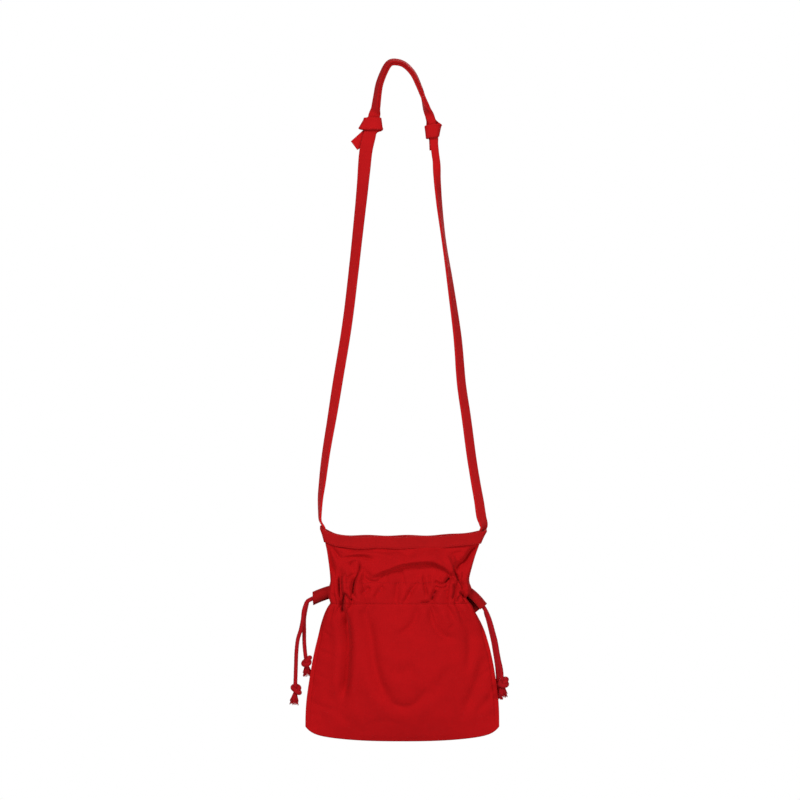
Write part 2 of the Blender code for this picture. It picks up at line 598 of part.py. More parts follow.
RIGHT_BACK_END = ((0.0010, 0.0030, -0.0048), (0.0030, 0.0036, -0.0110), (0.0048, 0.0040, -0.0180),
                  (0.0068, 0.0044, -0.0265), (0.0093, 0.0048, -0.0376), (0.0112, 0.0050, -0.0490),
                  (0.0128, 0.0054, -0.0590), (0.0142, 0.0058, -0.0700), (0.0150, 0.0060, -0.0800))


def make_drawcord(name, side_sign, length, droop, front_end, back_end, finish, collection):
    """One cord from its front knot up through the sleeve, round the neck inside both casings, and
    back out through the same sleeve to its other knot."""
    sleeve = sleeve_line(side_sign, length, droop)
    mouth = sleeve[-1]
    apart = CORD_RADIUS + GAP
    reach = 1 - 0.017 / NECK_HALF

    def level(u):
        """Each cord is in the middle of the casing at its own sleeve, and clear of the other cord at the far side."""
        return height_z(0, CASING_MIDDLE) + CORD_LEVEL * (u - side_sign)

    def strand(side, free_end):
        """From the free end in to the far side of the neck."""
        points = [mouth + Vector(p) for p in reversed(free_end)]
        points += [Vector((p.x, side * apart, p.z)) for p in sleeve[:0:-1]]
        points.append(Vector((sleeve[0].x - side_sign * 0.0035, side * (apart + 0.0006), sleeve[0].z)))
        for u in spaced(side_sign * reach, -side_sign * reach, 6):
            at = base_point(side, u, CASING_MIDDLE)
            points.append(Vector((at.x, at.y - side * (CLOTH / 2 + CORD_ROOM + CORD_RADIUS), level(u))))
        return points

    front, back = strand(FRONT, front_end), strand(BACK, back_end)
    far_edge = NECK_OFFSET - side_sign * (NECK_HALF - 0.0045 - CORD_RADIUS)
    turn = [Vector((far_edge, side * 0.0040, level(-side_sign))) for side in (FRONT, BACK)]
    route = smooth_route(front + turn + back[::-1], 2.2 * CORD_DIAMETER)
    start = [(p, size) for p, size in knotted_end(route[::-1])]
    end = knotted_end(route)
    points = start[::-1] + [(p, 1.0) for p in route] + end

    curve = bpy.data.curves.new(name, "CURVE")
    curve.dimensions = "3D"
    curve.bevel_depth = CORD_RADIUS
    curve.bevel_resolution = 2
    curve.use_fill_caps = True
    spline = curve.splines.new("POLY")
    spline.points.add(len(points) - 1)
    for point, (place, size) in zip(spline.points, points):
        point.co = (*place, 1)
        point.radius = size
    cord = bpy.data.objects.new(name, curve)
    curve.materials.append(finish)
    collection.objects.link(cord)
    return cord


def main():
    for old in list(bpy.data.objects):
        bpy.data.objects.remove(old)
    pouch = bpy.data.collections.new("drawstring_pouch")
    bpy.context.scene.collection.children.link(pouch)
    cloth = material("pouch_cloth", CLOTH_RED, 0.85)
    tape = material("twill_tape", TAPE_RED, 0.9)
    cord = material("cotton_cord", CORD_RED, 0.9)

    make_panel("front_panel", FRONT, 9, (0, 0.15, 0.3, 0.36, 0.42, 0.56, BINDING_SHARE, 1), cloth, pouch)
    make_panel("back_panel", BACK, 8, (0, 0.3, 0.55, BINDING_SHARE, 1), cloth, pouch)
    for name, side in (("front", FRONT), ("back", BACK)):
        make_casing(f"{name}_casing", side, cloth, pouch)
        make_binding(f"{name}_binding", side, tape, pouch)
    make_strap("left_strap", -1, LEFT_CORNER_OUT, LEFT_KNOT, LEFT_KNOT_LEAN, LEFT_SWAY, LEFT_TURN,
               0.0085, (0.015, 0.015, 0.0145, 0.014, 0.0135), arch_stations(1), right_knot(), tape, pouch)
    make_strap("right_strap", 1, RIGHT_CORNER_OUT, RIGHT_KNOT, RIGHT_KNOT_LEAN, RIGHT_SWAY, RIGHT_TURN,
               0.0130, (0.0088, 0.0090, 0.0092, 0.0092, 0.0092), arch_stations(-1)[::-1], left_knot(), tape, pouch)
    make_sleeve("left_sleeve", -1, LEFT_SLEEVE_LENGTH, LEFT_SLEEVE_DROOP, cloth, pouch)
    make_sleeve("right_sleeve", 1, RIGHT_SLEEVE_LENGTH, RIGHT_SLEEVE_DROOP, cloth, pouch)
    make_drawcord("left_drawcord", -1, LEFT_SLEEVE_LENGTH, LEFT_SLEEVE_DROOP, LEFT_OUTER_END, LEFT_INNER_END,
                  cord, pouch)
    make_drawcord("right_drawcord", 1, RIGHT_SLEEVE_LENGTH, RIGHT_SLEEVE_DROOP, RIGHT_FRONT_END, RIGHT_BACK_END,
                  cord, pouch)


main()
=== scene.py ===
"""The drawstring pouch's looks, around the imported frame.

Metres, +Z up, -Y the front. Cloth is a fine sheet on the pouch's own surface, with its gathers,
creases and soft folds. Tapes are folded strips with their stitching. The drawcords' knots are
drawn tight by pulling a loop of cord.
"""
import math

import bpy
import numpy as np
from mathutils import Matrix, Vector, noise


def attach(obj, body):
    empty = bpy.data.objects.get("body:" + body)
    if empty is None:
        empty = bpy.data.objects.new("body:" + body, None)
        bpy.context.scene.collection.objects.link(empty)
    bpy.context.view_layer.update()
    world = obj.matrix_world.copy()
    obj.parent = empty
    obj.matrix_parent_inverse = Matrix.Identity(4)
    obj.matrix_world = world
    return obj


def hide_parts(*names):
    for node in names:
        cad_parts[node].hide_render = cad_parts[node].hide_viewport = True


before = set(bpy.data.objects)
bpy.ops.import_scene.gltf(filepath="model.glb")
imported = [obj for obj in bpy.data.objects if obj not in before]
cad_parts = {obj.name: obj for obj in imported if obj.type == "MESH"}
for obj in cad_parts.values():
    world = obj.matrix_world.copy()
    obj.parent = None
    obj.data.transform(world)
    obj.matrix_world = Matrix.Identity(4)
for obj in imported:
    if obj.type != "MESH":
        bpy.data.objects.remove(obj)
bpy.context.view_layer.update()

FRONT, BACK = -1, 1
LEFT, RIGHT = -1, 1

# Pouch
BAG_WIDTH = 0.223
BAG_HEIGHT = 0.236
NECK_WIDTH = 0.158
MOUTH_WIDTH = 0.186
CASING_FROM_BOTTOM = 0.158
CASING_HEIGHT = 0.027
BELLY_DEPTH = 0.044
NECK_DEPTH = 0.038
MOUTH_DEPTH = 0.031
CLOTH = 0.0008
SEAM_FLANGE = 0.0044
BOTTOM_LIFT = 0.009
CORNER_ROUNDING = 0.008
MOUTH_CORNER_LIFT = 0.008
LEFT_TIP_LIFT = 0.004  # the left corner is pulled up by its strap, and both are pulled out
LEFT_TIP_OUT = 0.0026
RIGHT_TIP_OUT = 0.0012
POUCH_OFFSET = 0.0084
NECK_OFFSET = 0.0052
MOUTH_OFFSET = 0.0105
MOUTH_FLARE = 0.0025
STRAP_DROP = 0.5405
GATHER_RUN_DOWN = 0.034
GATHER_RUN_UP = 0.016
CREASE_DEPTH = 0.0095
CREASE_UNDERSIDE = 0.0064
CREASE_DROOP = 0.0008
CREASE_SMOOTHING = 10
CREASE_LOW, CREASE_HIGH, CREASE_TOP = 0.3, 0.56, 0.86  # shares of the collar's rows
CREASE_DROOP_RUN = 0.42
NECK_FOLD_SCALE = 1.3
CASING_BULGE = 0.0026
# Powers of the outline's curves: of the body's side and its shoulder, of the collar's side and its
# flare, of the bottom and its corners, and of the mouth's left and right corner.
BODY_CURVE, SHOULDER_CURVE = 2.2, 0.75
COLLAR_CURVE, FLARE_CURVE = 1.2, 6
BOTTOM_CURVE, CORNER_CURVE = 2.6, 16
LEFT_MOUTH_CURVE, RIGHT_MOUTH_CURVE = 7, 3
# Powers of a panel's crown, each in the flat body and in the open neck, across the panel and over it.
CROWN_ACROSS, CROWN_OVER = (2.1, 2.6), (0.85, 0.75)
# Shares of the body's height where the flat body starts to open, and over which it does.
OPENS_AT, OPENS_OVER = 0.72, 0.26
TIP_AT = 0.8  # how far across a panel the mouth's tips and the casing's bulge start
# In millimetres, how far out the right side stands at heights above the casing's bottom: a puff with
# a pinch below it.
RIGHT_CASING_EDGE = ((-9.5, 0), (-3.8, 1.2), (0, 2.2), (3.7, -0.3), (7.5, -2.5), (12.3, 0.5), (18.1, 3.5),
                     (23.8, 1.5), (30.7, 0))

# Tapes and cords
TAPE_WIDTH = 0.015
TAPE_THICKNESS = 0.0024
BINDING_HEIGHT = 0.0135
BINDING_THICKNESS = 0.001
STRAP_ROOT = 0.018
CORNER_RISE = 0.0126
EDGE_RISE = 0.0045
# How far out each strap's root lies and the tape's turn in degrees: at its foot, at the binding's
# lower edge, at the mouth's edge, a little above it, and at the corner where the strap is free.
LEFT_ROOT = ((-0.001, 90), (-0.0022, 90), (-0.0036, 88), (-0.005, 86), (-0.007, 84), (-0.0072, 80))
RIGHT_ROOT = ((0.0, 90), (0.0002, 84), (0.001, 70), (0.002, 60), (0.0018, 52), (-0.0006, 44))
CORD_DIAMETER = 0.0045
CORD_ROOM = 0.0008
CORD_SIDES = 24
CORD_STEP = 0.00055
CORD_STRANDS = 4
TAIL_LENGTH = 0.0138
TAIL_STRANDS = 60
TAIL_STRAND_RADIUS = 0.00066
GOLDEN_TURN = 2.39996
SLEEVE_WALL = 0.0011
SLEEVE_LENGTH = 0.027
# Painted shade over the whole of a sleeve, from 0 to 1.
SLEEVE_PAINTED_SHADE = 0.28
SLEEVE_ROOT = 0.0015
SLEEVE_DROOP = {LEFT: math.radians(22), RIGHT: math.radians(48)}
GAP = 0.0003
BINDING_GAP = 0.0004
STITCH_PITCH = 0.0028
STITCH_LENGTH = 0.0022
THREAD_RADIUS = 0.00017
# A stitch's middle line: shares of its length, and how far out of the cloth it stands at each.
STITCH_SHARES = (0, 0.12, 0.5, 0.88, 1)
STITCH_RISES = (-0.00025, 0.00012, 0.0002, 0.00012, -0.00025)

# What follows from them
BAG_HALF = BAG_WIDTH / 2
NECK_HALF = NECK_WIDTH / 2
MOUTH_HALF = MOUTH_WIDTH / 2
MOUTH_Z = -STRAP_DROP
BOTTOM_Z = MOUTH_Z - BAG_HEIGHT
CASING_TOP = CASING_FROM_BOTTOM + CASING_HEIGHT
CASING_MIDDLE = CASING_FROM_BOTTOM + CASING_HEIGHT / 2
COLLAR_HEIGHT = BAG_HEIGHT - CASING_TOP
CORD_RADIUS = CORD_DIAMETER / 2
CASING_ROOM = CLOTH / 2 + CORD_ROOM + CORD_DIAMETER + CORD_ROOM + CLOTH / 2
SEAM_HALF = CLOTH / 2
BINDING_OFFSET = CLOTH / 2 + BINDING_GAP + BINDING_THICKNESS / 2
PANEL_TOP = BAG_HEIGHT - BINDING_THICKNESS - GAP
BINDING_LOW = PANEL_TOP + BINDING_THICKNESS + GAP - BINDING_HEIGHT
SIDE_HALF = TAPE_WIDTH / 2 + 2 * GAP + BINDING_OFFSET + BINDING_THICKNESS / 2
SLEEVE_BORE_DEPTH = CORD_DIAMETER + 0.0016
SLEEVE_BORE_HEIGHT = CORD_RADIUS + 0.0032
SLEEVE_HALF_DEPTH = SLEEVE_BORE_DEPTH + SLEEVE_WALL
SLEEVE_HALF_HEIGHT = SLEEVE_BORE_HEIGHT + SLEEVE_WALL
FACE_SHARE = 1 - SEAM_FLANGE / BAG_HALF
PITCH = TAPE_THICKNESS + GAP + 0.0001
SEWN_ROWS = (CASING_FROM_BOTTOM + 0.0015, CASING_TOP - 0.0015)

# The photograph's frame: how much of the pouch's plane one of its pixels shows, and which pixel
# shows the origin. The camera stands level with the middle of the picture.
PIXEL = 0.00115
ORIGIN_PIXEL = (395, 66)
PICTURE = 800
CAMERA_AWAY = 3.0
FRONT_FACE = 0.018  # how far the pouch's front stands before its middle plane

# Gathers from the left side to the right: the valleys between them, how many millimetres each stands
# out, and how far each valley leans to the right at the top of the casing and at its bottom.
FRONT_VALLEYS = (-FACE_SHARE, -0.88, -0.82, -0.675, -0.49, -0.27, -0.04, 0.165, 0.385, 0.5, 0.675, 0.785,
                 0.885, FACE_SHARE)
FRONT_RIDGES = (3.4, 2.6, 6.4, 5, 3, 2.6, 2.6, 2.8, 2.6, 4, 4.6, 4, 3)
FRONT_LEANS = ((0, 0), (-0.01, 0.01), (-0.02, 0.005), (0.04, 0), (-0.03, 0.04), (0.03, -0.05),
               (0.06, -0.02), (0.03, -0.06), (-0.03, 0.02), (0.04, -0.05), (0.02, -0.02), (0.01, -0.02),
               (-0.03, 0.03), (0, 0))
BACK_VALLEYS = (-FACE_SHARE, -0.85, -0.7, -0.5, -0.24, 0.02, 0.26, 0.47, 0.66, 0.78, 0.88, FACE_SHARE)
BACK_RIDGES = (3.2, 5, 4.6, 3.4, 2.8, 2.8, 3.2, 4.4, 5, 4.2, 3)
BACK_LEANS = ((0, 0), (0.02, -0.01), (-0.03, 0.02), (0.04, -0.03), (0.02, 0.03), (-0.04, 0.02), (0.03, -0.04),
              (-0.02, 0.03), (0.03, -0.02), (-0.02, 0.01), (0.01, -0.01), (0, 0))
GATHERS = {FRONT: (FRONT_VALLEYS, FRONT_RIDGES, FRONT_LEANS), BACK: (BACK_VALLEYS, BACK_RIDGES, BACK_LEANS)}
TIGHT_BELOW, TIGHT_ABOVE = 0.012, 0.01  # how far from the casing its puffs stay sharp
OUTER_AT, OUTER_OVER = 0.4, 0.3  # where across a panel waves turn into puffs, and over how far
PUFF, MIDDLE_WAVE, OUTER_WAVE = 0.85, 0.42, 0.75
MIDDLE_SWELL = 0.3
FACE_EDGE = 0.035

# The collar's crease at the front, over the gathers: its height as a share of the collar, and how
# strongly the slack cloth above it bulges.
CREASE_HEIGHT = ((-1, 0.08), (-0.6, 0.05), (-0.4, 0.05), (-0.22, 0.155), (0, 0.3), (0.22, 0.355),
                 (0.42, 0.355), (0.55, 0.26), (0.65, 0.16), (0.75, 0.09), (0.85, 0.08), (1, 0.08))
CREASE_STRENGTH = ((-1, 0), (-0.62, 0.0), (-0.45, 0.22), (-0.22, 0.7), (0, 0.95), (0.3, 1), (0.55, 0.92),
                   (0.66, 0.6), (0.76, 0.22), (0.86, 0), (1, 0))

# Folds of the front, each a route in pixels of the photograph, a half width and a depth in
# millimetres. A minus depth is a ridge. A slit is a sharp valley, a soft one has round sides.
SLIT, SOFT = "slit", "soft"
NECK_FOLDS = {
    "left slit": (((338.3, 575), (339.2, 586), (339.8, 598)), 1.1, 4.6, SLIT),
    "second slit": (((341.3, 574), (342.3, 585), (343.3, 598)), 1.0, 3.6, SLIT),
    "left bulge": (((333.5, 577), (334, 586), (334.5, 596)), 3.2, -1.4, SOFT),
    "notch": (((345.8, 591), (343.6, 598), (342.4, 605), (341.4, 615)), 2.1, 6.6, SLIT),
    "arm of the notch": (((346, 593), (348.8, 597.5), (353, 601)), 1.2, 3.6, SLIT),
    "hooked slit": (((356.6, 560.5), (359.4, 566), (357.2, 575), (353.8, 584), (353.2, 592),
                     (356.8, 598.5)), 1.2, 3.6, SLIT),
    "left of the hook": (((350.5, 570), (349.5, 580), (348.5, 590)), 2.6, -1.4, SOFT),
    "top of the hook": (((348.6, 566), (352.5, 561.8), (356.6, 560.5)), 1.4, 2.6, SLIT),
    "right of the hook": (((363.5, 563), (361.5, 572), (359.5, 582)), 2.6, -1.2, SOFT),
    "fold right of the hook": (((361, 573), (365.5, 578.5), (371, 581.5), (378, 582)), 1.9, 1.7, SOFT),
    "fold under the crease": (((384, 573), (380.5, 578.5), (376, 585)), 2.0, 1.0, SOFT),
    "second fold under it": (((386.5, 573), (387.2, 578), (387, 585)), 2.0, 0.8, SOFT),
    "third fold under it": (((398, 568), (402.5, 576), (405.6, 589)), 2.1, 1.1, SOFT),
    "soft gather": (((384, 585), (379.5, 591.5), (374, 599.5)), 3.0, 1.3, SOFT),
    "dimple": (((371, 587), (366, 590.6), (360, 594)), 3.0, 1.9, SOFT),
    "middle gather": (((398.5, 578), (396.4, 590), (397, 605)), 2.8, 1.2, SOFT),
    "slanted gather": (((412, 591), (407, 598.5), (401, 604)), 2.6, 1.4, SOFT),
    "soft triangle": (((419, 581), (413.5, 588), (407, 595)), 2.4, 1.5, SOFT),
    "long gather": (((423, 573), (424.2, 582), (427, 597)), 1.4, 1.6, SOFT),
    "short gather": (((429.5, 573.5), (429.4, 582), (430, 589)), 1.5, 1.3, SOFT),
    "dark slant": (((437.2, 589.5), (434.5, 593.5), (430.6, 601.5)), 1.8, 3.4, SLIT),
    "foot of the slant": (((430.6, 601.5), (426, 602.5), (420, 602.5)), 1.2, 2.2, SLIT),
    "hole": (((450.4, 577.2), (447, 580.5), (444.0, 583.4)), 1.9, 4.8, SLIT),
    "rim of the hole": (((445, 582.5), (440, 583.5), (434, 581.5)), 1.4, 2.2, SOFT),
    "fold below the hole": (((434.5, 587), (440, 587.5), (448.5, 585.6)), 1.4, 1.8, SOFT),
    "tall slit": (((453.2, 582), (454.2, 589), (452.0, 601)), 1.8, 3.4, SLIT),
    "crossed slit": (((454.0, 566), (456.4, 576), (459.5, 584), (462.5, 589)), 1.3, 3.6, SLIT),
    "bright strip": (((453.0, 574), (457, 582), (462, 590)), 1.6, -2.0, SOFT),
    "slit to the sleeve": (((458.2, 591), (462, 595), (466.5, 599.5)), 1.6, 4.4, SLIT),
    "last fold": (((460, 595), (457.8, 598), (456, 603)), 1.3, 2.6, SLIT),
    "right bulge": (((463.8, 577), (465.5, 585), (466, 592)), 2.6, -1.4, SOFT),
}
COLLAR_FOLDS = {
    "valley under the tape": (((341, 553), (352, 550.5), (368, 549.0), (384, 549), (396, 550),
                               (406, 554)), 1.9, 3.0, SOFT),
    "dark part of it": (((364, 549), (378, 550), (394, 551.5)), 3.0, 1.6, SOFT),
    "second valley": (((342, 558.5), (352, 557.3), (361, 556.6), (368, 558),
                       (374, 560)), 1.7, 2.6, SOFT),
    "slack between them": (((346, 555), (358, 553.6), (372, 554), (386, 556),
                            (398, 559)), 2.6, -1.3, SOFT),
    "left valley": (((329.5, 541), (333.5, 550), (338, 556.5), (343, 559.6)), 2.2, 2.4, SOFT),
    "left ridge": (((336, 541), (341, 549), (348, 553.6)), 2.4, -1.6, SOFT),
    "left side's face": (((325.6, 547), (329, 561), (333.0, 574)), 3.6, 3.4, SOFT),
    "slack over the hook": (((341, 566), (347, 571), (347, 577)), 3.2, -1.6, SOFT),
    "left crumple": (((344, 580), (350.5, 576.5), (355, 573)), 1.5, 1.3, SOFT),
    "hollow left of the crease": (((361, 566), (365, 573), (372, 577)), 3.4, 1.8, SOFT),
    "right valley": (((477.5, 543), (471.5, 552), (465.5, 560.5), (459.5, 567),
                      (456.0, 574)), 3.2, 4.4, SOFT),
    "bottom of it": (((474, 548), (466, 560), (458.0, 569)), 1.5, 1.4, SLIT),
    "right strip": (((482, 546), (476, 558), (469.5, 569), (465, 579)), 3.2, -1.8, SOFT),
    "right dimple": (((450.5, 554.2), (457, 553.3), (464, 552.6)), 1.7, 1.6, SOFT),
    "ridge to the crossing": (((446.5, 556), (449.5, 565), (452.0, 574)), 2.4, -1.8, SOFT),
    "dark side of it": (((456, 554), (458, 561), (457.0, 568)), 3.4, 2.2, SOFT),
    "soft middle": (((413, 549), (408, 556), (405, 563)), 5.0, 1.4, SOFT),
    "soft right": (((437, 548), (434, 555), (433, 561)), 5.0, -0.8, SOFT),
}
BODY_FOLDS = {
    "left valley": (((341.5, 606), (344.6, 622), (346.4, 640), (346.2, 660), (344.6, 682),
                     (341.5, 706)), 5.0, 8.0, SOFT),
    "top of the left valley": (((342, 606), (344.6, 616), (346.6, 628)), 2.6, 2.0, SOFT),
    "drag fold": (((364.8, 606), (370.5, 638), (375, 668), (383, 690), (395, 703)), 6.2, 4.4, SOFT),
    "bottom of the drag fold": (((380, 693), (393, 704.5), (408, 707.5), (421, 698.5),
                                 (431, 685)), 5.0, 1.7, SOFT),
    "drag fold's lip": (((388, 702), (399, 706.5), (411, 707), (421.5, 699)), 1.9, 0.6, SOFT),
    "middle valley": (((418.4, 604), (415, 619), (406, 630.5), (394, 637)), 4.2, 2.6, SOFT),
    "belly's dip": (((388, 668), (402, 673), (417, 665)), 7.5, 1.8, SOFT),
    "loop fold": (((430.6, 604), (433.0, 623), (442.5, 635.5), (458, 639.5)), 3.9, 2.6, SOFT),
    "inside the loop": (((441, 610), (445.5, 620), (452, 627)), 5.0, -1.6, SOFT),
    "right valley": (((462, 608), (469, 630), (470.5, 655), (465, 678)), 5.6, 2.4, SOFT),
    "right drag": (((483, 655), (480, 676), (472, 698), (462, 716)), 6.5, 2.6, SOFT),
    "corner drag": (((497, 690), (487, 703), (474, 716)), 4.2, 1.1, SOFT),
    "slanted drag": (((453, 667), (441, 681), (430, 700)), 6.0, 1.4, SOFT),
    "low left drag": (((330, 690), (338, 712), (352, 728)), 6.0, 1.4, SOFT),
    "left side wrinkle": (((318, 630), (324, 633), (331, 638)), 1.8, 0.9, SOFT),
    "second side wrinkle": (((315, 652), (324, 653.5), (334, 657.5)), 1.8, 0.8, SOFT),
    "third side wrinkle": (((313, 673), (321, 677), (330, 681)), 2.0, 0.7, SOFT),
    "low left wrinkle": (((312, 704), (324, 709), (338, 712)), 2.6, 0.9, SOFT),
    "bottom wrinkle": (((362, 727), (384, 722), (408, 728)), 2.8, 0.35, SOFT),
    "right side wrinkle": (((497, 668), (489, 672), (481, 679)), 1.9, 0.9, SOFT),
}
BACK_FOLDS = {
    "back's deep valley": (((455, 606), (449, 640), (446, 674), (450, 700)), 4.4, 3.2, SOFT),
    "back's drag fold": (((376, 606), (384, 640), (398, 678), (416, 692), (436, 682)), 4.8, 2.2, SOFT),
    "back's left valley": (((334, 618), (331, 646), (336, 678)), 5.0, 2.4, SOFT),
    "back's middle valley": (((411, 606), (415, 622), (424, 634)), 3.6, 1.5, SOFT),
    "back's low drag": (((345, 672), (358, 694), (377, 710)), 5.0, 1.4, SOFT),
    "back's corner drag": (((497, 690), (484, 702), (470, 714)), 3.6, 1.0, SOFT),
    "back's collar valley": (((352, 566), (380, 556), (412, 553), (444, 560)), 2.6, 2.4, SOFT),
    "back's collar dimple": (((392, 569), (412, 566), (432, 571)), 2.4, 1.5, SOFT),
    "back's left crease": (((334, 548), (342, 562), (346, 578)), 2.4, 2.4, SOFT),
    "back's right crease": (((474, 548), (466, 562), (459, 578)), 2.4, 2.6, SOFT),
    "back's slit": (((362, 583), (363.5, 592), (361, 604)), 1.2, 3.4, SLIT),
    "back's second slit": (((443, 582), (441, 592), (443, 606)), 1.2, 3.6, SLIT),
}

# The strap below the knots, as in the solids: sway in millimetres and turn in degrees down its way.
LEFT_SWAY = ((0, 0.6), (0.14, 2.5), (0.25, 3.3), (0.4, 4.2), (0.5, 3.8), (0.62, 1.8), (0.73, 0.2),
             (0.84, -1.7), (0.9, -1.7), (0.955, -1.5), (0.982, -1.5), (1, 0))
LEFT_TURN = ((0, 0), (0.06, 22), (0.14, 34), (0.3, 43), (0.66, 45), (0.77, 52), (0.87, 58), (0.9, 60),
             (0.955, 70), (0.982, 76), (1, 80))
RIGHT_SWAY = ((0, 0.2), (0.06, -1.7), (0.17, -3), (0.34, -1.7), (0.5, -1.2), (0.62, -3.4), (0.72, -2.8),
              (0.84, -2.5), (0.9, -1.6), (0.955, -0.5), (0.982, 0.0), (1, 0))
RIGHT_TURN = ((0, 0), (0.03, 34), (0.09, 62), (0.2, 76), (0.26, 75), (0.35, 66), (0.5, 55), (0.7, 48),
              (0.9, 48), (0.955, 46), (1, 44))
# The strap's arch: across and up in millimetres, and the tape's turn in degrees.
ARCH = ((-22.2, -53.4, 52), (-20.3, -39.6, 62), (-18, -25.8, 65), (-12.8, -11.8, 66), (-7, -2.2, 67),
        (0, 0, 68), (10.6, -3, 72), (20.5, -13, 76), (27, -26.4, 80), (32.1, -39.8, 87),
        (36.4, -53.4, 110))
ARCH_CROWN_TURN = math.radians(68)
ARCH_TAPE_WIDTH = 0.012
LEFT_KNOT = Vector((-0.0262, 0, -0.0667))
LEFT_KNOT_LEAN = math.radians(13.5)
RIGHT_KNOT = Vector((0.0434, 0, -0.0748))
RIGHT_KNOT_LEAN = math.radians(-6.5)

# Free ends of the drawcords: across, depth and height in millimetres from the sleeve's mouth.
CORD_ROUTES = {
    "left_outer_cord": ((-2.5, -2.8, -4.5), (-4.6, -3.1, -11.7), (-5.6, -3.2, -20.9),
                   (-7.8, -3.2, -32), (-11.3, -3, -44), (-12.9, -2.6, -58),
                   (-13.6, -2.2, -76.5), (-14.3, -2, -98)),
    "left_inner_cord": ((-1.2, 2.8, -4), (-2.8, 3.2, -11.4), (-4.2, 3.4, -20.9),
                   (-4.2, 3.4, -34), (-4.1, 3.4, -48), (-3.4, 3.4, -57),
                   (-2.4, 3.6, -66)),
    "right_front_cord": ((2.2, -3, -4.2), (4.6, -3.6, -10), (6.7, -4, -16.5),
                    (9, -4.4, -25), (11.9, -4.8, -36), (13.8, -5, -47),
                    (15.6, -5.4, -57), (18, -5.8, -68), (19, -6, -79.5)),
    "right_back_cord": ((1, 3, -4.8), (3, 3.6, -11), (4.8, 4, -18),
                   (6.8, 4.4, -26.5), (9.3, 4.8, -37.6), (11.2, 5, -49),
                   (12.8, 5.4, -59), (14.2, 5.8, -70), (15, 6, -83)),
}

# How much painted shade darkens the strap tape, from 0 to 1, at heights down from the arch.
LEFT_PAINTED_SHADE = ((-0.54, 0), (-0.32, 0), (-0.16, 0.2), (-0.06, 0.22), (-0.035, 0.3), (0, 0.42))
RIGHT_PAINTED_SHADE = ((-0.54, 0), (-0.14, 0), (-0.09, 0.1), (-0.06, 0.16), (-0.035, 0.26), (0, 0.42))

# Lamps: place, width and power. All are aimed at one point.
LAMPS = {
    "key_light": ((-2.6, -4.2, 3.5), 1.6, 226),
    "fill_light": ((3.6, -4.2, 0.9), 2.4, 106),
    "low_light": ((0.2, -4.0, -3.5), 2.8, 94),
    "back_light": ((0.6, 2.2, 0.8), 1.4, 46),
}
LIT_POINT = (0, 0, -0.5)
WORLD_LIGHT = 0.09
SENSOR_WIDTH = 36

# Linear colours
CLOTH_RED = (0.475, 0.0028, 0.0048)
TAPE_RED = (0.45, 0.0045, 0.006)
CORD_RED = (0.38, 0.004, 0.0085)
THREAD_RED = (0.45, 0.005, 0.0075)


# Small helpers, on numbers and arrays alike

def ease(t):
    t = np.clip(t, 0.0, 1.0)
    return t * t * (3 - 2 * t)


def mix(a, b, t):
    return a + (b - a) * t


def through(knots, t):
    """The values at t of a smooth curve through (t, value) knots. A value may be a vector."""
    at = np.array([k[0] for k in knots], float)
    values = np.array([np.atleast_1d(k[1]) for k in knots], float)
    slopes = np.empty_like(values)
    slopes[1:-1] = (values[2:] - values[:-2]) / (at[2:] - at[:-2])[:, None]
    slopes[0] = (values[1] - values[0]) / (at[1] - at[0])
    slopes[-1] = (values[-1] - values[-2]) / (at[-1] - at[-2])
    t = np.clip(np.asarray(t, float), at[0], at[-1])
    k = np.clip(np.searchsorted(at, t, side="right") - 1, 0, len(at) - 2)
    span = (at[k + 1] - at[k])[..., None]
    s = (t - at[k])[..., None] / span
    made = (values[k] * (1 + 2 * s) * (1 - s) ** 2 + span * slopes[k] * s * (1 - s) ** 2
            + values[k + 1] * s * s * (3 - 2 * s) + span * slopes[k + 1] * s * s * (s - 1))
    return made[..., 0] if values.shape[1] == 1 else made


def lengths_along(line):
    return np.concatenate([[0.0], np.cumsum(np.linalg.norm(np.diff(line, axis=0), axis=1))])


def resampled(line, step):
    """Points about a step apart along a smooth curve through a line's points."""
    line = np.asarray(line, float)
    along = lengths_along(line)
    count = max(2, round(along[-1] / step))
    return through(list(zip(along, line)), np.linspace(0, along[-1], count + 1))


def unit(v):
    return v / np.maximum(np.linalg.norm(v, axis=-1, keepdims=True), 1e-12)


def frames_along(line, first_up):
    """Along, side and up directions at each point of a line, carried along it without twisting."""
    along = unit(np.gradient(line, axis=0))
    up = np.empty_like(line)
    carried = np.asarray(first_up, float)
    for i, way in enumerate(along):
        carried = unit(carried - way * carried.dot(way))
        up[i] = carried
    return along, np.cross(along, up), up


def seen_at(pixels):
    """Where on the pouch's front face the camera sees each of these pixels: across and up, in metres."""
    across, down = np.asarray(pixels, float).T
    middle = PICTURE / 2
    nearer = 1 - FRONT_FACE / CAMERA_AWAY
    return np.stack([((middle - ORIGIN_PIXEL[0]) + (across - middle) * nearer) * PIXEL,
                     ((ORIGIN_PIXEL[1] - middle) + (middle - down) * nearer) * PIXEL], 1)


# The pouch's surface: u runs across a panel from -1 to 1, and h up from the bottom seam.

def openness(h):
    """0 in the flat body, and 1 in the neck and the collar, which are open at the sides."""
    return ease((h / CASING_FROM_BOTTOM - OPENS_AT) / OPENS_OVER)


def half_width(h):
    low = np.clip(h / CASING_FROM_BOTTOM, 0, 1)
    body = NECK_HALF + (BAG_HALF - NECK_HALF) * (1 - low ** BODY_CURVE) ** SHOULDER_CURVE
    up = np.clip((h - CASING_TOP) / COLLAR_HEIGHT, 0, None)
    collar = (MOUTH_HALF - NECK_HALF - MOUTH_FLARE) * up ** COLLAR_CURVE + MOUTH_FLARE * up ** FLARE_CURVE
    return np.where(h < CASING_FROM_BOTTOM, body, NECK_HALF + collar)


def centre_x(h):
    return through(((0, POUCH_OFFSET), (0.75 * CASING_FROM_BOTTOM, POUCH_OFFSET),
                    (CASING_FROM_BOTTOM, NECK_OFFSET), (CASING_TOP, NECK_OFFSET),
                    (BAG_HEIGHT, MOUTH_OFFSET)), h)


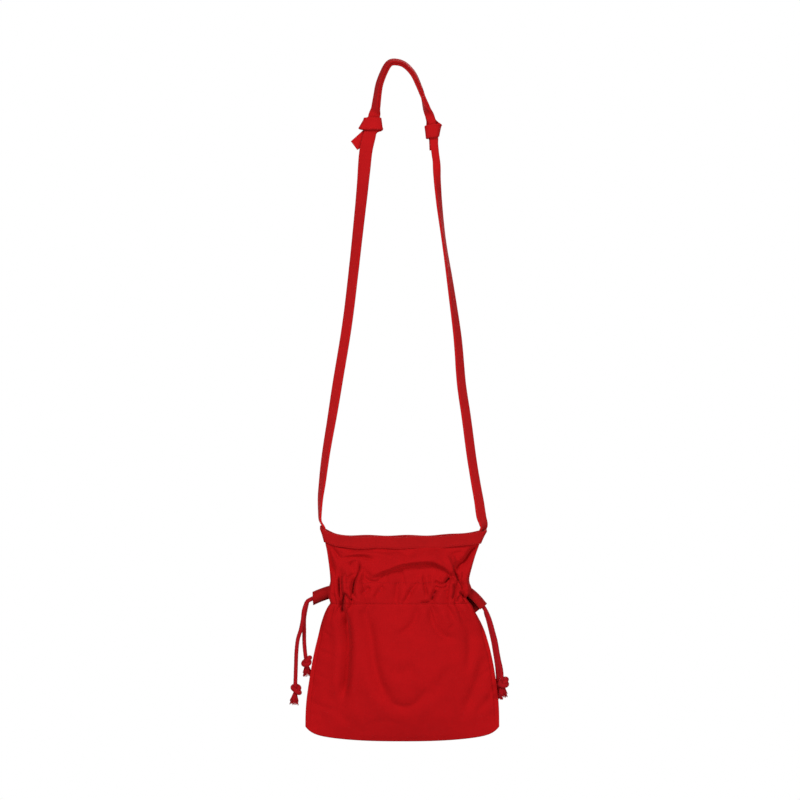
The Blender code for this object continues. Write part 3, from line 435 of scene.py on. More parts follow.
def half_depth(h):
    share = through(((0, 0), (0.05, 0.2), (0.2, 0.62), (0.45, 0.96), (0.65, 1),
                     (1, NECK_DEPTH / BELLY_DEPTH)), h / CASING_FROM_BOTTOM)
    neck = mix(NECK_DEPTH, MOUTH_DEPTH, ease((h - CASING_TOP) / COLLAR_HEIGHT)) / 2
    return np.where(h < CASING_FROM_BOTTOM, np.maximum(SEAM_HALF, share * BELLY_DEPTH / 2), neck)


def side_opening(h):
    """1 where the sleeve leaves the side, and 0 away from it."""
    away = np.abs(h - CASING_MIDDLE) - SLEEVE_HALF_HEIGHT
    return 1 - ease(away / (CASING_HEIGHT / 2 - SLEEVE_HALF_HEIGHT + 0.004))


def tip_share(u, h):
    """1 at one corner of the mouth, and 0 away from it."""
    return ease((u - TIP_AT) / (1 - TIP_AT)) * ease((h - CASING_TOP) / COLLAR_HEIGHT) ** 2


def height_z(u, h):
    size = np.abs(u)
    curve = BOTTOM_LIFT * size ** BOTTOM_CURVE + CORNER_ROUNDING * size ** CORNER_CURVE
    bottom = curve * (1 - ease(h / (0.5 * CASING_FROM_BOTTOM)))
    power = np.where(u < 0, LEFT_MOUTH_CURVE, RIGHT_MOUTH_CURVE)
    mouth = MOUTH_CORNER_LIFT * size ** power * ease((h - CASING_TOP) / COLLAR_HEIGHT)
    return BOTTOM_Z + h + bottom + mouth + LEFT_TIP_LIFT * tip_share(-u, h)


def base_points(side, u, h):
    """The panel's middle surface through the bottoms of its gathers."""
    u, h = np.broadcast_arrays(np.asarray(u, float), np.asarray(h, float))
    size = np.abs(u)
    face = np.minimum(size / FACE_SHARE, 1.0)
    turned_in = np.maximum(0.0, (size - FACE_SHARE) / (1 - FACE_SHARE))
    wide = openness(h)
    side_depth = mix(SEAM_HALF, SIDE_HALF, wide)
    edge_depth = mix(mix(SEAM_HALF, 0, wide), SLEEVE_HALF_DEPTH + GAP + CLOTH / 2, side_opening(h))
    crown = (1 - face ** mix(*CROWN_ACROSS, wide)) ** mix(*CROWN_OVER, wide)
    y = mix(side_depth, np.maximum(side_depth, half_depth(h)), crown)
    y = np.where(turned_in > 0, mix(side_depth, edge_depth, turned_in), y)
    up = np.clip((h - CASING_FROM_BOTTOM) / CASING_HEIGHT, 0, 1)
    right_bulge = through(RIGHT_CASING_EDGE, (h - CASING_FROM_BOTTOM) * 1000) / 1000
    left_bulge = CASING_BULGE * np.sin(math.pi * up) ** 2
    bulge = np.where(u < 0, left_bulge, right_bulge)
    x = half_width(h) * mix(size, face, wide) + bulge * ease((size - TIP_AT) / (1 - TIP_AT))
    x = np.copysign(x, u) - LEFT_TIP_OUT * tip_share(-u, h) + RIGHT_TIP_OUT * tip_share(u, h)
    return np.stack([centre_x(h) + x, side * y, height_z(u, h)], -1)


def gathers(side, u, h):
    """How far the gathered cloth stands out in the casing: round puffs with sharp valleys towards the
    sides, low waves in the middle, and both fading above and below."""
    valleys, ridges, leans = GATHERS[side]
    up = np.clip((h - CASING_FROM_BOTTOM) / CASING_HEIGHT, 0, 1)
    below = np.maximum(0.0, CASING_FROM_BOTTOM - h)
    above = np.maximum(0.0, h - CASING_TOP)
    tight = (1 - ease(below / TIGHT_BELOW)) * (1 - ease(above / TIGHT_ABOVE))
    out = np.zeros_like(u)
    for k, ridge in enumerate(ridges):
        low, high = (mix(valleys[i] + leans[i][1], valleys[i] + leans[i][0], up) for i in (k, k + 1))
        s = (u - low) / (high - low)
        inside = (s >= 0) & (s <= 1)
        s = np.clip(s, 0, 1)
        outer = float(ease((abs(valleys[k] + valleys[k + 1]) / 2 - OUTER_AT) / OUTER_OVER))
        puff = PUFF * np.sqrt(np.maximum(0, 1 - (2 * s - 1) ** 2))
        wave = mix(MIDDLE_WAVE, OUTER_WAVE, outer) * np.sin(math.pi * s) ** 2
        out += np.where(inside, ridge / 1000 * mix(wave, puff, tight * outer), 0)
    run = (1 - ease(below / GATHER_RUN_DOWN)) ** 1.5 * (1 - ease(above / GATHER_RUN_UP))
    return out * run * (1 + MIDDLE_SWELL * np.sin(math.pi * up))


# A fold's section: how far its depth runs out in half widths, its lips' height, distance and width.
FOLD_STEP = 0.0015
FOLD_REACH = {SOFT: 4, SLIT: 7}
SOFT_LIP, SOFT_LIP_AWAY = 0.14, 2.3
SLIT_LIP, SLIT_LIP_AWAY, SLIT_LIP_WIDTH = 0.2, 3.0, 1.3
FOLD_END = 0.22  # the share of its length over which a fold fades at each end
FOLD_AT_END = 0.15
# Painted shade: a slit darkens the cloth's colour inside it, fully at this depth.
FULL_SHADE_SLIT_DEPTH = 0.006  # a slit of this depth is fully dark inside


def nearest_on(line, spots):
    """How far each spot is from a line, and the share of the line's length at the place nearest to it."""
    here = lengths_along(line)
    best = np.full(len(spots), np.inf)
    where = np.zeros(len(spots))
    for i, (a, b) in enumerate(zip(line, line[1:])):
        run = b - a
        t = np.clip((spots - a) @ run / run.dot(run), 0, 1)
        away = np.linalg.norm(spots - a - t[:, None] * run, axis=1)
        closer = away < best
        best = np.where(closer, away, best)
        where = np.where(closer, here[i] + t * (here[i + 1] - here[i]), where)
    return best, where / here[-1]


def fold_depths(places, folds):
    """How deep a set of folds is at each place, an array of across and up on the front face, and how
    far inside a slit the place is, from 0 to 1: the share of painted shade its colour gets."""
    depth = np.zeros(places.shape[:-1])
    inside = np.zeros(places.shape[:-1])
    for route, width, most, kind in folds.values():
        line = resampled(seen_at(route), FOLD_STEP)
        width, most = width / 1000, most / 1000
        reach = FOLD_REACH[kind] * width
        near = ((places >= line.min(0) - reach) & (places <= line.max(0) + reach)).all(-1)
        if not near.any():
            continue
        away, share = nearest_on(line, places[near])
        away = away / width
        ends = ease(share / FOLD_END) * ease((1 - share) / FOLD_END)
        if kind == SOFT:
            shape = np.exp(-away ** 2) - SOFT_LIP * np.exp(-(away - SOFT_LIP_AWAY) ** 2)
        else:
            shape = np.exp(-away) - SLIT_LIP * np.exp(-((away - SLIT_LIP_AWAY) / SLIT_LIP_WIDTH) ** 2)
            inner = np.exp(-(away / 0.8) ** 2) * ends * min(1.0, most / FULL_SHADE_SLIT_DEPTH)
            inside[near] = np.maximum(inside[near], inner)
        depth[near] += most * mix(FOLD_AT_END, 1, ends) * shape
    return depth, inside


# Unevenness of worn cotton, and its puckers along the side seams and the bottom: how fine each is
# across, on the slant and up, its seed and its height in metres.
WEAR = ((34, 0, 27, 3.1, 0.0007), (115, 40, 90, 7.7, 0.0003), (14, 0, 130, 1.3, 0.0011),
        (95, 0, 12, 4.9, 0.0008))
PUCKER_REACH = 0.012


def slack(points, side, u, h):
    """How far worn cotton's unevenness stands out at each point."""
    from_side = np.maximum(0.0, FACE_SHARE - np.abs(u)) * BAG_HALF
    at_side = np.exp(-from_side / PUCKER_REACH) * (1 - openness(h))
    at_bottom = np.exp(-h / PUCKER_REACH)
    out = 0
    for (across, slant, up, seed, height), share in zip(WEAR, (1, 1, at_side, at_bottom)):
        uneven = [noise.noise((x * across + z * slant, side * seed, z * up))
                  for x, _, z in points.reshape(-1, 3)]
        out = out + height * np.reshape(uneven, u.shape) * share
    return out


def smoothed(points, times, keep):
    """A grid of points, relaxed. keep is 1 where a point stays."""
    for _ in range(times):
        relaxed = points.copy()
        inner = points[:-2, 1:-1] + points[2:, 1:-1] + points[1:-1, :-2] + points[1:-1, 2:]
        relaxed[1:-1, 1:-1] = inner / 4
        points = mix(relaxed, points, keep[..., None])
    return points


def grid_normals(points, side):
    across = np.gradient(points, axis=1)
    up = np.gradient(points, axis=0)
    return unit(np.cross(across, up)) * -side


CLOSER, CLOSER_CURVE = 0.3, 1.3


def panel_columns(count):
    """Column places across a panel, closer together towards its sides, where the gathers are sharp."""
    even = np.linspace(-1, 1, count)
    return even * (1 + CLOSER * (1 - np.abs(even)) ** CLOSER_CURVE)


# Rows of a panel's grid: how many lie below the gathers, in them under the casing, in the casing and
# in the collar, and how far below the lower stitching the gathers' rows start.
PANEL_ROWS = (84, 36, 54, 96)
NEAR_ROWS = 0.03


def panel_rows(fine):
    """Heights of the rows below the collar, those of the collar as shares of it, and which row is the
    casing's lower stitching."""
    below, near, casing, collar = (round(count * fine) for count in PANEL_ROWS)
    heights = [np.linspace(0, SEWN_ROWS[0] - NEAR_ROWS, below)[:-1],
               np.linspace(SEWN_ROWS[0] - NEAR_ROWS, SEWN_ROWS[0], near)[:-1],
               np.linspace(SEWN_ROWS[0], CASING_TOP, casing)[:-1]]
    return np.concatenate(heights), np.linspace(0, 1, collar), below + near - 2


def creased(t, columns):
    """Heights above the casing of the front collar's rows t, and how its crease shifts them."""
    crease = through(CREASE_HEIGHT, columns) * COLLAR_HEIGHT
    strength = through(CREASE_STRENGTH, columns)
    lip = crease + CREASE_UNDERSIDE
    over = (t - CREASE_LOW) / (CREASE_HIGH - CREASE_LOW)
    rise = np.where(t < CREASE_LOW, crease * (t / CREASE_LOW), mix(crease, lip, np.clip(over, 0, 1)))
    top = mix(lip, PANEL_TOP - CASING_TOP, (t - CREASE_HIGH) / (1 - CREASE_HIGH))
    bulge = strength * (ease(over) - ease((t - CREASE_HIGH) / (CREASE_TOP - CREASE_HIGH)))
    droop = strength * np.sin(math.pi * np.clip((t - CREASE_LOW) / CREASE_DROOP_RUN, 0, 1))
    shift = np.stack([np.zeros_like(bulge), FRONT * CREASE_DEPTH * bulge, -CREASE_DROOP * droop], -1)
    return np.where(t > CREASE_HIGH, top, rise), shift


# Depths in metres and how far each fades: the casing's lower stitch row, the side seam, and the uneven
# height of the casing's upper stitch row.
PINCH_DEPTH, PINCH_WIDTH = 0.0006, 0.0012
SEAM_DEPTH, SEAM_WIDTH = 0.0007, 0.007
DRAWN_UP, DRAWN_WIDTH = 0.0009, 0.007
FLAT_EDGE = 0.006
KEPT_RIM = 2
LEAST_KEPT = 0.35


def panel_relief(side, base, u, h, face):
    """How far the cloth stands out of its smooth surface, and how far inside a slit each point is."""
    places = base[..., [0, 2]]
    depth, inside = fold_depths(places, dict(NECK_FOLDS, **COLLAR_FOLDS) if side == FRONT else BACK_FOLDS)
    if side == FRONT:
        depth = NECK_FOLD_SCALE * depth + fold_depths(places, BODY_FOLDS)[0]
    size = np.abs(u)
    pinch = PINCH_DEPTH * np.exp(-((h - SEWN_ROWS[0]) / PINCH_WIDTH) ** 2)
    seam_free = ease(0.5 * (1 - size) / (1 - FACE_SHARE))
    relief = (gathers(side, u, h) - depth - pinch) * face + slack(base, side, u, h) * seam_free
    bottom = ease((h - FLAT_EDGE) / 0.02)
    under_tape = 1 - ease((h - (BINDING_LOW - FLAT_EDGE)) / FLAT_EDGE)
    seam = np.exp(-((size - FACE_SHARE) / SEAM_WIDTH) ** 2) * (1 - openness(h))
    return relief * bottom * under_tape - SEAM_DEPTH * seam * ease((h - FLAT_EDGE / 2) / FLAT_EDGE), inside


def panel_surface(side, columns, fine):
    """The panel's finished middle surface as a grid of points, the heights of its rows, its stitched
    row, and how far inside a slit each point is."""
    low_rows, collar_rows, sewn = panel_rows(fine)
    first = len(low_rows)
    u = np.broadcast_to(columns, (first + len(collar_rows), len(columns))).copy()
    h = np.empty_like(u)
    h[:first] = low_rows[:, None]
    t = collar_rows[:, None]
    shift = np.zeros(u.shape + (3,))
    if side == FRONT:
        rise, shift[first:] = creased(t, columns)
    else:
        rise = t * (PANEL_TOP - CASING_TOP) * np.ones_like(columns)
    h[first:] = CASING_TOP + rise
    base = base_points(side, u, h) + shift
    for _ in range(CREASE_SMOOTHING if side == FRONT else 0):
        top = base[first - 1:]
        base[first:-1] = (top[:-2] + 2 * top[1:-1] + top[2:]) / 4
    face = 1 - ease((np.abs(u) - (FACE_SHARE - FACE_EDGE)) / FACE_EDGE)
    relief, inside = panel_relief(side, base, u, h, face)
    points = base + grid_normals(base, side) * relief[..., None]
    drawn = 0.5 * np.sin(17 * u + 1 + side) + 0.35 * np.sin(31 * u) + 0.3 * np.sin(47 * u + 2)
    points[..., 2] += DRAWN_UP * drawn * face * np.exp(-((h - SEWN_ROWS[1]) / DRAWN_WIDTH) ** 2)
    keep = np.full_like(u, LEAST_KEPT)
    keep[:KEPT_RIM] = keep[-KEPT_RIM:] = 1
    keep[:, :KEPT_RIM] = keep[:, -KEPT_RIM:] = 1
    return smoothed(points, 2, keep), h, sewn, inside


# Meshes

def make_object(name, points, faces, coords, finish, replaced=()):
    """A piece of mesh that rides the pouch. coords are where each point lies on its cloth, in metres,
    and last its share of painted shade.
    """
    mesh = bpy.data.meshes.new(name)
    mesh.from_pydata(points.tolist(), [], faces)
    mesh.update()
    mesh.shade_smooth()
    mesh.materials.append(finish)
    lay = mesh.attributes.new("lay", "FLOAT_VECTOR", "POINT")
    lay.data.foreach_set("vector", np.ascontiguousarray(coords, dtype=np.float32).ravel())
    piece = bpy.data.objects.new(name, mesh)
    bpy.context.scene.collection.objects.link(piece)
    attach(piece, "root")
    if replaced:
        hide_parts(*replaced)
    return piece


def grid_faces(rows, columns, closed=False):
    made = []
    for r in range(rows - 1):
        for c in range(columns if closed else columns - 1):
            d = (c + 1) % columns
            made.append((r * columns + c, r * columns + d, (r + 1) * columns + d, (r + 1) * columns + c))
    return made


def tube_faces(rows, sides):
    """The faces of a tube of rings, with a cap at each end."""
    last = (rows - 1) * sides
    caps = [tuple(range(sides))[::-1], tuple(range(last, last + sides))]
    return grid_faces(rows, sides, closed=True) + caps


def cloth_sheet(name, points, thickness, finish, replaced, flip, start=0.0, inside=0.0):
    """A grid of points as cloth of a thickness. inside is each point's share of painted shade: how far
    within a slit it is, or on a sleeve how dark it is painted there.
    """
    rows, columns = points.shape[:2]
    across = np.cumsum(np.linalg.norm(np.diff(points, axis=1, prepend=points[:, :1]), axis=2), axis=1)
    up = np.cumsum(np.linalg.norm(np.diff(points, axis=0, prepend=points[:1]), axis=2), axis=0)
    middle = slice(columns // 2, columns // 2 + 1)
    coords = np.stack([across - across[:, middle], np.broadcast_to(up[:, middle] + start, across.shape),
                       np.broadcast_to(inside, across.shape)], -1)
    faces = grid_faces(rows, columns)
    if flip:
        faces = [face[::-1] for face in faces]
    piece = make_object(name, points.reshape(-1, 3), faces, coords.reshape(-1, 3), finish, replaced)
    solid = piece.modifiers.new("Cloth thickness", "SOLIDIFY")
    solid.thickness = thickness
    solid.offset = 0
    return piece


def joined(name, parts, finish, replaced=()):
    """One piece from several (points, faces, coords)."""
    points, faces, coords, start = [], [], [], 0
    for some, theirs, lay in parts:
        points.append(some)
        coords.append(lay)
        faces += [tuple(i + start for i in face) for face in theirs]
        start += len(some)
    return make_object(name, np.concatenate(points), faces, np.concatenate(coords), finish, replaced)


def round_tube(line, radius, sides, up=(0, 1, 0.01)):
    """Points, faces and cloth places of a round tube. radius is one number, or one for each ring, or
    one for each ring and side."""
    _, across, up = frames_along(np.asarray(line, float), up)
    angle = np.linspace(0, 2 * math.pi, sides, endpoint=False)
    if np.ndim(radius) < 2:
        radius = np.reshape(radius, (-1, 1))
    radius = np.broadcast_to(radius, (len(line), sides))
    ring = across[:, None] * np.cos(angle)[:, None] + up[:, None] * np.sin(angle)[:, None]
    points = line[:, None] + ring * radius[..., None]
    lay = np.zeros(points.shape)
    lay[..., 0] = angle * np.median(radius)
    lay[..., 1] = lengths_along(line)[:, None]
    return points.reshape(-1, 3), tube_faces(len(line), sides), lay.reshape(-1, 3)


def stitches(name, runs):
    """Sewing thread along runs of (points, outward directions): a row of small stitches that dip at
    their ends."""
    parts = []
    for line, outward in runs:
        along = lengths_along(line)
        knots = list(zip(along, line))
        ways = list(zip(along, outward))
        for start in np.arange(STITCH_PITCH, along[-1] - STITCH_PITCH, STITCH_PITCH):
            at = start + np.array(STITCH_SHARES) * STITCH_LENGTH
            out = unit(through(ways, at))
            centre = through(knots, at) + out * np.array(STITCH_RISES)[:, None]
            parts.append(round_tube(centre, THREAD_RADIUS, 6, up=out[0]))
    return joined(name, parts, thread_finish)


# Materials

def wired(tree, made, inputs):
    """A node whose inputs are given values, or other nodes' outputs to take them from."""
    for key, value in inputs.items():
        if isinstance(value, bpy.types.NodeSocket):
            tree.links.new(value, made.inputs[key])
        else:
            made.inputs[key].default_value = value
    return made


def node(tree, kind, inputs, **settings):
    made = tree.nodes.new(kind)
    for key, value in settings.items():
        setattr(made, key, value)
    return wired(tree, made, inputs)


def shade(colour, share):
    """A colour made lighter or darker, with its alpha."""
    return (*(c * share for c in colour), 1)


# A band texture repeats about every pi / 10 at scale 1.
BANDS_REPEAT = 3.1831
# Sizes in metres of a yarn's unevenness across and along it, of soft changes of colour, and of fuzz.
YARN_ACROSS, YARN_ALONG, CLOUD, FUZZ = 0.0011, 0.016, 0.022, 0.0007
RAMP_STOPS = (0.36, 0.86)
# How dark the painted shade makes the dark yarn's colour, in a slit or on a sleeve's shaded side.
PAINTED_SLIT_SHADE = 0.45


def cotton(name, colour, shades, pitch, twill, bump, roughness, sheen, sheen_tint):
    """Woven cotton: threads both ways, or a twill's slanted ribs, uneven yarn and a soft change of
    colour, with painted shade mixed in by the third value of its places. shades are how bright its dark
    and light yarns are."""
    made = bpy.data.materials.new(name)
    made.use_nodes = True
    tree = made.node_tree
    lay = node(tree, "ShaderNodeAttribute", {}, attribute_name="lay").outputs["Vector"]

    def scaled(x, y, turn=0):
        return node(tree, "ShaderNodeMapping", {"Vector": lay, "Rotation": (0, 0, math.radians(turn)),
                                                "Scale": (x, y, 0)}).outputs["Vector"]

    def bands(finer, turn, distortion):
        scale = finer / (pitch * BANDS_REPEAT)
        return node(tree, "ShaderNodeTexWave", {"Vector": scaled(scale, scale, turn), "Scale": 1,
                                                "Distortion": distortion, "Detail": 1,
                                                "Detail Scale": 0.6}).outputs["Fac"]

    def grain(across, up, detail, rough=0.55):
        return node(tree, "ShaderNodeTexNoise", {"Vector": scaled(1 / across, 1 / up), "Scale": 1,
                                                 "Detail": detail, "Roughness": rough}).outputs["Fac"]

    def reckoned(kind, a, b):
        return node(tree, "ShaderNodeMath", {0: a, 1: b}, operation=kind).outputs[0]

    def summed(*terms):
        total = 0
        for share, socket in terms:
            total = reckoned("ADD", total, reckoned("MULTIPLY", socket, share))
        return total

    if twill:
        weave = summed((0.75, bands(1, 40, 0.8)), (0.25, bands(2, -50, 0.6)))
    else:
        weave = reckoned("MULTIPLY", bands(1, 0, 0.9), bands(1, 90, 0.9))
    yarn = summed((1, grain(YARN_ACROSS, YARN_ALONG, 2)), (1, grain(YARN_ALONG, YARN_ACROSS, 2)))
    cloud = grain(CLOUD, CLOUD, 3)
    fuzz = grain(FUZZ, FUZZ, 2, 0.7)

    tone = summed((0.22, yarn), (0.46, cloud), (0.34 if twill else 0.2, weave), (0.22, fuzz))
    ramp = node(tree, "ShaderNodeValToRGB", {"Fac": tone})
    for stop, position, share in zip(ramp.color_ramp.elements, RAMP_STOPS, shades):
        stop.position = position
        stop.color = shade(colour, share)
    # Painted shade: the places' third value mixes the colour towards a darker copy of it.
    slit = node(tree, "ShaderNodeSeparateXYZ", {"Vector": lay}).outputs["Z"]
    folded = node(tree, "ShaderNodeMix", {"Factor": slit, 6: ramp.outputs["Color"],
                                          7: shade(colour, shades[0] * PAINTED_SLIT_SHADE)}, data_type="RGBA")
    height = summed((0.6, weave), (0.35, yarn), (0.25, fuzz))
    bumped = node(tree, "ShaderNodeBump", {"Height": height, "Strength": 0.7, "Distance": bump})
    wired(tree, tree.nodes["Principled BSDF"], {
        "Base Color": folded.outputs[2], "Normal": bumped.outputs["Normal"], "Roughness": roughness,
        "Specular IOR Level": 0.12, "Sheen Weight": sheen, "Sheen Roughness": 0.45,
        "Sheen Tint": (*sheen_tint, 1)})
    return made


cloth_finish = cotton("pouch_cloth", CLOTH_RED, (0.86, 1.1), 0.00055, False, 0.00012, 0.88, 0.1,
                      (0.8, 0.1, 0.09))
# The straps, the bindings and the sleeves are one twill tape in two copies. The straps' copy is painted
# lighter as painted light, and the bindings' and sleeves' copy darker as painted shade.
strap_finish_painted_lighter = cotton("strap_tape", TAPE_RED, (1.02, 1.4), 0.00125, True, 0.0003, 0.9, 0.3,
                      (0.95, 0.22, 0.22))
tape_finish_painted_darker = cotton("twill_tape", TAPE_RED, (0.68, 1.04), 0.00125, True, 0.0003, 0.9, 0.18,
                     (0.95, 0.25, 0.22))
cord_finish = cotton("cotton_cord", CORD_RED, (0.8, 1.12), 0.0008, True, 0.00015, 0.9, 0.16,
                     (0.9, 0.18, 0.16))
thread_finish = cotton("sewing_thread", THREAD_RED, (0.9, 1.1), 0.0003, False, 0.00005, 0.75, 0.1,
                       (0.9, 0.18, 0.16))


# Camera and light

def aimed(piece, place, target):
    piece.location = place
    piece.rotation_euler = (Vector(target) - Vector(place)).to_track_quat("-Z", "Y").to_euler()
    bpy.context.scene.collection.objects.link(piece)
    return piece


def camera():
    middle_x = (PICTURE / 2 - ORIGIN_PIXEL[0]) * PIXEL
    middle_z = (ORIGIN_PIXEL[1] - PICTURE / 2) * PIXEL
    lens = bpy.data.cameras.new("camera")
    lens.sensor_width = SENSOR_WIDTH
    lens.lens = SENSOR_WIDTH * CAMERA_AWAY / (PICTURE * PIXEL)
    return aimed(bpy.data.objects.new("camera", lens), (middle_x, -CAMERA_AWAY, middle_z),
                 (middle_x, 0, middle_z))


def lamps():
    for name, (place, width, power) in LAMPS.items():
        light = bpy.data.lights.new(name, "AREA")
        light.shape = "SQUARE"
        light.size = width
        light.energy = power
        aimed(bpy.data.objects.new(name, light), place, LIT_POINT)


def studio_world():
    """White for rays from the camera, and for those that show the background in gloss or glass. All
    other rays get the world's soft light."""
    world = bpy.data.worlds.new("studio")
    world.use_nodes = True
    tree = world.node_tree
    white = (1, 1, 1, 1)
    rays = node(tree, "ShaderNodeLightPath", {}).outputs
    seen = rays["Is Camera Ray"]
    for kind in ("Is Glossy Ray", "Is Transmission Ray"):
        seen = node(tree, "ShaderNodeMath", {0: seen, 1: rays[kind]}, operation="MAXIMUM").outputs[0]
    soft = wired(tree, tree.nodes["Background"], {"Color": white, "Strength": WORLD_LIGHT})
    plain = node(tree, "ShaderNodeBackground", {"Color": white, "Strength": 1})
    chosen = node(tree, "ShaderNodeMixShader", {0: seen, 1: soft.outputs[0], 2: plain.outputs[0]})
    wired(tree, tree.nodes["World Output"], {"Surface": chosen.outputs[0]})
    return world


stage = bpy.context.scene
stage.view_settings.view_transform = "Standard"
stage.camera = camera()
lamps()
stage.world = studio_world()


# Sleeves, and the drawcords that leave through them

SLEEVE_SHARES = (0.25, 0.5, 0.75, 1)


def sleeve_line(side_sign):
    """The sleeve's middle line, from just inside the side seam out to its mouth."""
    root = np.array([NECK_OFFSET + side_sign * NECK_HALF, 0, float(height_z(1, CASING_MIDDLE))])
    start = root + (side_sign * SLEEVE_ROOT, 0, -0.0002)
    points = [root - (side_sign * SLEEVE_ROOT, 0, 0), start]
    for share in SLEEVE_SHARES:
        angle = SLEEVE_DROOP[side_sign] * min(1.0, 0.55 + share * 0.6)
        way = np.array([side_sign * math.cos(angle), 0, -math.sin(angle)])
        points.append(start + way * (SLEEVE_LENGTH * share))
    return np.array(points)


# A knot is drawn tight in pulls of its ends while the cord isn't stretched, each followed by
# settlings in which the cord keeps its length and its turns keep a cord's thickness apart.
POINTS_TO_A_THICKNESS = 2.5
PULLS, PULL, STRETCHED = 260, 0.08, 1.03
SETTLINGS, KEEP_LENGTH, KEEP_APART, SMOOTHING = 6, 0.45, 0.3, 0.05
NEAR_ALONG = 3
LOOP_SIZE, LOOP_ENDS = 0.75, 5  # in thicknesses of the cord
KNOT_LEAD = 3
KNOT_PRESSED = (0.86, 0.86, 0.8)  # pulled so tight that the cord is pressed flat


def loose_knot(thick):
    """Evenly spaced points along a loose overhand knot with straight ends, and its last end's way."""
    t = np.linspace(-2.0, 2.0, 200)
    loop = np.stack([t ** 3 - 3 * t, t ** 4 - 4 * t ** 2 + 1.2, t ** 5 / 5 - 1.9 * t], 1) * thick * LOOP_SIZE
    way = np.sign(loop[-1, 2])
    lead = np.linspace(0, 1, 8)[1:, None]
    ends = np.array([0, 0, way * LOOP_ENDS * thick])
    line = np.concatenate([(loop[0] * (1 - lead) - ends * lead)[::-1], loop,
                           loop[-1] * (1 - lead) + ends * lead])
    along = lengths_along(line)
    at = np.arange(0, along[-1], thick / POINTS_TO_A_THICKNESS)
    return np.stack([np.interp(at, along, line[:, k]) for k in range(3)], 1), way


def tied_knot(thick):
    """The middle line of an overhand knot along Z, drawn tight by pulling the ends of a loose one apart."""
    step = thick / POINTS_TO_A_THICKNESS
    line, way = loose_knot(thick)
    order = np.arange(len(line))
    apart_along = np.abs(np.subtract.outer(order, order)) > NEAR_ALONG
    for _ in range(PULLS):
        if np.linalg.norm(np.diff(line, axis=0), axis=1).mean() < STRETCHED * step:
            line[0, 2] -= way * thick * PULL
            line[-1, 2] += way * thick * PULL
        line[[0, -1], :2] *= 0.8
        for _ in range(SETTLINGS):
            run = np.diff(line, axis=0)
            move = run * (1 - step / np.linalg.norm(run, axis=1, keepdims=True)) * KEEP_LENGTH
            line[1:-1] += move[1:] - move[:-1]
            between = line[:, None] - line[None]
            near = np.linalg.norm(between, axis=2) + 1e-9
            pressed = np.where(apart_along, np.maximum(0, thick - near), 0)
            line += (between / near[..., None] * pressed[..., None]).sum(1) * KEEP_APART
            line[1:-1] += SMOOTHING * (line[:-2] + line[2:] - 2 * line[1:-1])
    line = line[::-int(way)]
    busy = np.flatnonzero(np.linalg.norm(line[:, :2], axis=1) > 0.55 * thick)
    knot = line[busy[0] - KNOT_LEAD:busy[-1] + KNOT_LEAD + 1]
    lead_in = ease(np.linspace(0, 1, KNOT_LEAD + 1))[:, None]
    knot[:KNOT_LEAD + 1, :2] *= lead_in
    knot[-KNOT_LEAD - 1:, :2] *= lead_in[::-1]
    knot[:, 2] -= (knot[0, 2] + knot[-1, 2]) / 2
    return knot


KNOT_LINE = tied_knot(CORD_DIAMETER) * KNOT_PRESSED
KNOT_HALF = KNOT_LINE[:, 2].max()


PLAIT_LENGTH = CORD_RADIUS * 1.55 / 2.6
PLAIT_LOW, PLAIT_RELIEF = 0.985, 0.05


def braided(line, radius):
    """A braided cord's skin along a line, with its crossing strands."""
    turns = np.linspace(0, 2 * math.pi, CORD_SIDES, endpoint=False)[None]
    along = lengths_along(line)[:, None] / PLAIT_LENGTH
    crossing = np.cos(CORD_STRANDS * turns + along) * np.cos(CORD_STRANDS * turns - along)
    return round_tube(line, radius * (PLAIT_LOW + PLAIT_RELIEF * np.abs(crossing) ** 0.7), CORD_SIDES)


def turned(points, way, angle):
    """Points built along -Z, turned to run along a way, and by an angle about it."""
    quat = Vector((0, 0, -1)).rotation_difference(Vector(way)).to_matrix()
    c, s = math.cos(angle), math.sin(angle)
    spin = np.array([[c, -s, 0], [s, c, 0], [0, 0, 1]])
    return points @ spin.T @ np.array(quat).T


TAIL_INSIDE = 0.0012
TAIL_SHORTEST = 0.66
FAN_WIDE, FAN_DEEP = 1.25, 0.5
STRAND_TAPER = 0.4


def frayed(start, way, seed):
    """A cut cord's loose strands, spread like a brush."""
    parts = []
    side = unit(np.cross(way, (0.0, 1, 0.2)))
    other = np.cross(way, side)
    t = np.linspace(0, 1, 7)
    thin = TAIL_STRAND_RADIUS * (1 - STRAND_TAPER * t ** 2)
    t = t[:, None]
    for i in range(TAIL_STRANDS):
        angle = GOLDEN_TURN * i + seed
        out = math.sqrt((i + 0.5) / TAIL_STRANDS)
        long = TAIL_LENGTH * mix(TAIL_SHORTEST, 1, 0.5 + 0.5 * math.sin(3.1 * i + 1.7 * seed))
        ring = side * math.cos(angle) + other * math.sin(angle)
        fan = side * (FAN_WIDE * math.cos(angle)) + other * (FAN_DEEP * math.sin(angle))
        spread = CORD_RADIUS * out * (0.86 + 0.3 * t)
        line = start + way * (long * t - TAIL_INSIDE) + ring * spread + fan * CORD_RADIUS * t ** 1.3
        parts.append(round_tube(line, thin, 5))
    return parts


KNOT_OVERLAP = 0.002
KNOT_SWELL, KNOT_SWELL_RUN = 0.14, 0.12
TAIL_SWING = 0.3


